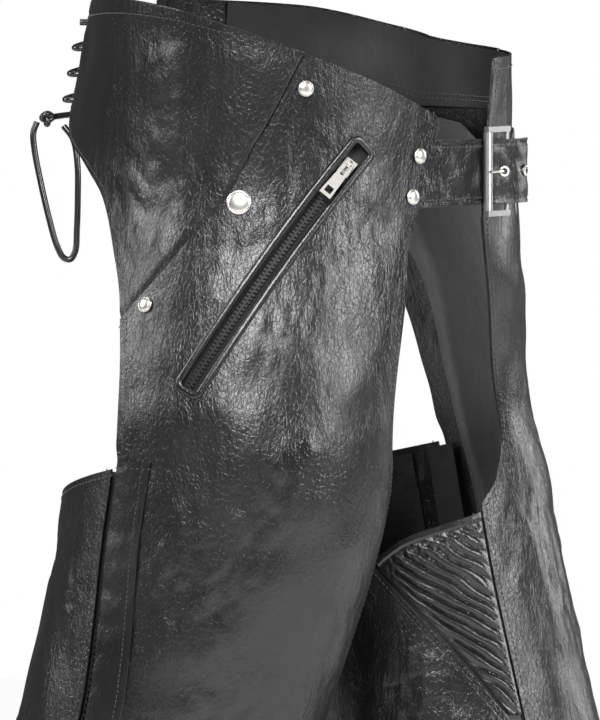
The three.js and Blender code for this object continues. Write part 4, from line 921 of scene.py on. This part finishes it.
s = np.linspace(0, 1, len(beltLine))
strap("BeltStrap", beltLine, strapHalf, 2.2, blackLeather, ["belt_strap"], 1 - ease((s - 0.2) / 0.25), 0.06,
      0.7, 301, 9.0)
barX, barY = 25.0, -126.0
# (turn, lift off the panel) of its outer ply, and back along the inner one.
tailSpots = ((-66.5, 0), (-70, 0.1), (-73, 0.1), (-75.5, 0.5), (-77.5, 2.2))
tailInSpots = ((-77.5, 1.4), (-75.5, 0.3), (-73, 0.1), (-70, 0.1), (-66.5, 0))
tail = [skin("left", t, strapMiddle, -2.75 - lift)[:2] for t, lift in tailSpots]
tailIn = [skin("left", t, strapMiddle, -1.15 - lift)[:2] for t, lift in tailInSpots]
ring = np.radians(np.linspace(-70, -290, 14))
loopPart = np.stack([barX + 2.75 * np.cos(ring), barY + 2.75 * np.sin(ring)], -1)
chapeXY = [*tail, *loopPart, *tailIn]
chapeLine = smoothLine([np.array([x, y, strapMiddle]) for x, y in chapeXY], 90)
strap("BeltChape", chapeLine, 19.0, 1.3, smoothLeather, ["belt_chape"], seed=330)

rowsZ = (92, 76, 60, 44)
route = []
for z in rowsZ:
    ends = {}
    for side, drop in (("right", 0), ("left", 6)):
        h = z - drop
        turn = through(rearEdge[side], h)
        ends[side] = (turn - 11 * degreesPerMm(side, turn, h), h)
    route += [skin("right", *ends["right"], -4.5), skin("right", *ends["right"], 7.0),
              skin("left", *ends["left"], 7.0),
              skin("left", *ends["left"], -4.5)]
knot = np.array([-31.0, 171.0, 31.0])
route.append(knot + [6.1, -2.2, 0.8])
vertices, faces = sweep(smoothLine(route, 420), circle(2.0, 12))
meshFrom("Lace", vertices, faces, laceLeather, "chaps", ["lace"])
a = np.linspace(0, 2 * np.pi, 60, endpoint=False)
# Trefoil: (sin a + 2 sin 2a, cos a - 2 cos 2a, -sin 3a), drawn in tightly.
tied = np.stack([np.sin(a) + 2 * np.sin(2 * a), 0.8 * -np.sin(3 * a), np.cos(a) - 2 * np.cos(2 * a)],
                -1) * [1.5, 1.9, 1.3] + knot
vertices, faces = sweep(tied, circle(1.9, 10), looped=False)
knotPiece = meshFrom("LaceKnot", vertices, faces, laceLeather, "chaps", ["lace_knot"])
hang = [(-34, 176.5, 28.5), (-36, 178, 22), (-36.5, 177, 12), (-37.5, 172, -8), (-38.5, 165.5, -30),
        (-38.5, 159.5, -48), (-37, 155.5, -55.5), (-35, 152, -56.5), (-33, 149.5, -51.5),
        (-31, 149.5, -38), (-29, 150, -18), (-27, 151.5, 3), (-25.5, 155.5, 18), (-26, 162, 26)]
hangLine = smoothLine(hang, 160)
vertices, faces = sweep(hangLine, circle(1.95, 12))
loopPiece = meshFrom("LaceLoop", vertices, faces, laceLeather, "chaps", ["lace_loop"])
print("belt and lace")

# Metal pieces.
def lathe(profile, sides=56):
    p = np.array(profile, float)
    a = np.arange(sides) * 2 * np.pi / sides
    v = np.stack([p[:, None, 0] * np.cos(a), p[:, None, 0] * np.sin(a),
                  np.broadcast_to(p[:, None, 1], (len(p), sides))], -1)
    i = np.arange(len(p) - 1)[:, None] * sides
    k = np.arange(sides)[None]
    k2 = (k + 1) % sides
    f = np.stack([i + k, i + k2, i + sides + k2, i + sides + k], -1).reshape(-1, 4)
    return v.reshape(-1, 3), f


def rivetForm(radius, rise, ringed):
    t = np.linspace(0, np.pi / 2, 12)
    dome = [(max(0.02, radius * 0.86 * np.cos(x)), rise * (0.35 + 0.65 * np.sin(x))) for x in t]
    rim = [(0.02, -0.2), (radius * 0.96, -0.2), (radius, 0.15), (radius * 0.985, rise * 0.3),
           (radius * 0.93, rise * 0.42), (radius * 0.88, rise * 0.34)]
    if ringed:
        rim += [(radius * 0.86, rise * 0.3)]
    return lathe(rim + dome)


for side in sideNames:
    spots = [("pocket_rivet_lower", 0.07, 5.0), ("snap_cap", 0.44, 7.6), ("pocket_rivet_upper", 0.685, 5.0)]
    placed = []
    for name, at, radius in spots:
        z = float(through(yokeLine, at)) - 4
        placed.append((name, float(turnAt(side, at + 0.028, z)), z, radius, 0.1))
    for name, z in (("belt_rivet_upper", 14.0), ("belt_rivet_lower", -11.0)):
        turn = -72.5 if side == "left" else float(turnAt(side, 0.965, z))
        placed.append((name, turn, z, 5.0, 3.6 if side == "left" else 0.1))
    for name, turn, z, radius, lift in placed:
        upward, forward, normal = frameAt(side, turn, z)
        spot = skin(side, turn, z, -lift - 0.55)
        scatter("".join(w.title() for w in name.split("_")) + "." + side,
                rivetForm(radius, 2.5, radius > 6), spot[None], upward[None], normal[None], nickel,
                "chaps", [f"{name}_{side}"])

for name, cadPiece in nodes.items():
    if any(word in name for word in ("slider", "pull", "eyelet", "buckle")):
        cadPiece.data.materials.clear()
        cadPiece.data.materials.append(chrome if "roller" in name or "frame" in name else nickel)
        bevel = cadPiece.modifiers.new("bevel", "BEVEL")
        bevel.width = 0.0009 if "frame" in name else 0.00035
        bevel.segments = 3
        bevel.limit_method = "ANGLE"
        bevel.angle_limit = math.radians(35)
        cadPiece.data.polygons.foreach_set("use_smooth", np.ones(len(cadPiece.data.polygons), bool))
        cadPiece.data.set_sharp_from_angle(angle=math.radians(38))

floorMesh = bpy.data.meshes.new("floor")
floorMesh.from_pydata([(-8, -8, -0.965), (8, -8, -0.965), (8, 8, -0.965), (-8, 8, -0.965)], [],
                      [(0, 1, 2, 3)])
pale = material("paleFloor", {"Base Color": (0.9, 0.9, 0.9, 1), "Roughness": 0.8,
                              "Emission Color": (1, 1, 1, 1)})
seen = node(pale.node_tree, "ShaderNodeLightPath").outputs["Is Camera Ray"]
glow = node(pale.node_tree, "ShaderNodeMath", {0: seen, 1: 0.85}, operation="MULTIPLY")
pale.node_tree.links.new(glow.outputs[0],
                         pale.node_tree.nodes["Principled BSDF"].inputs["Emission Strength"])
floorMesh.materials.append(pale)
floor = bpy.data.objects.new("floor", floorMesh)
bpy.context.scene.collection.objects.link(floor)
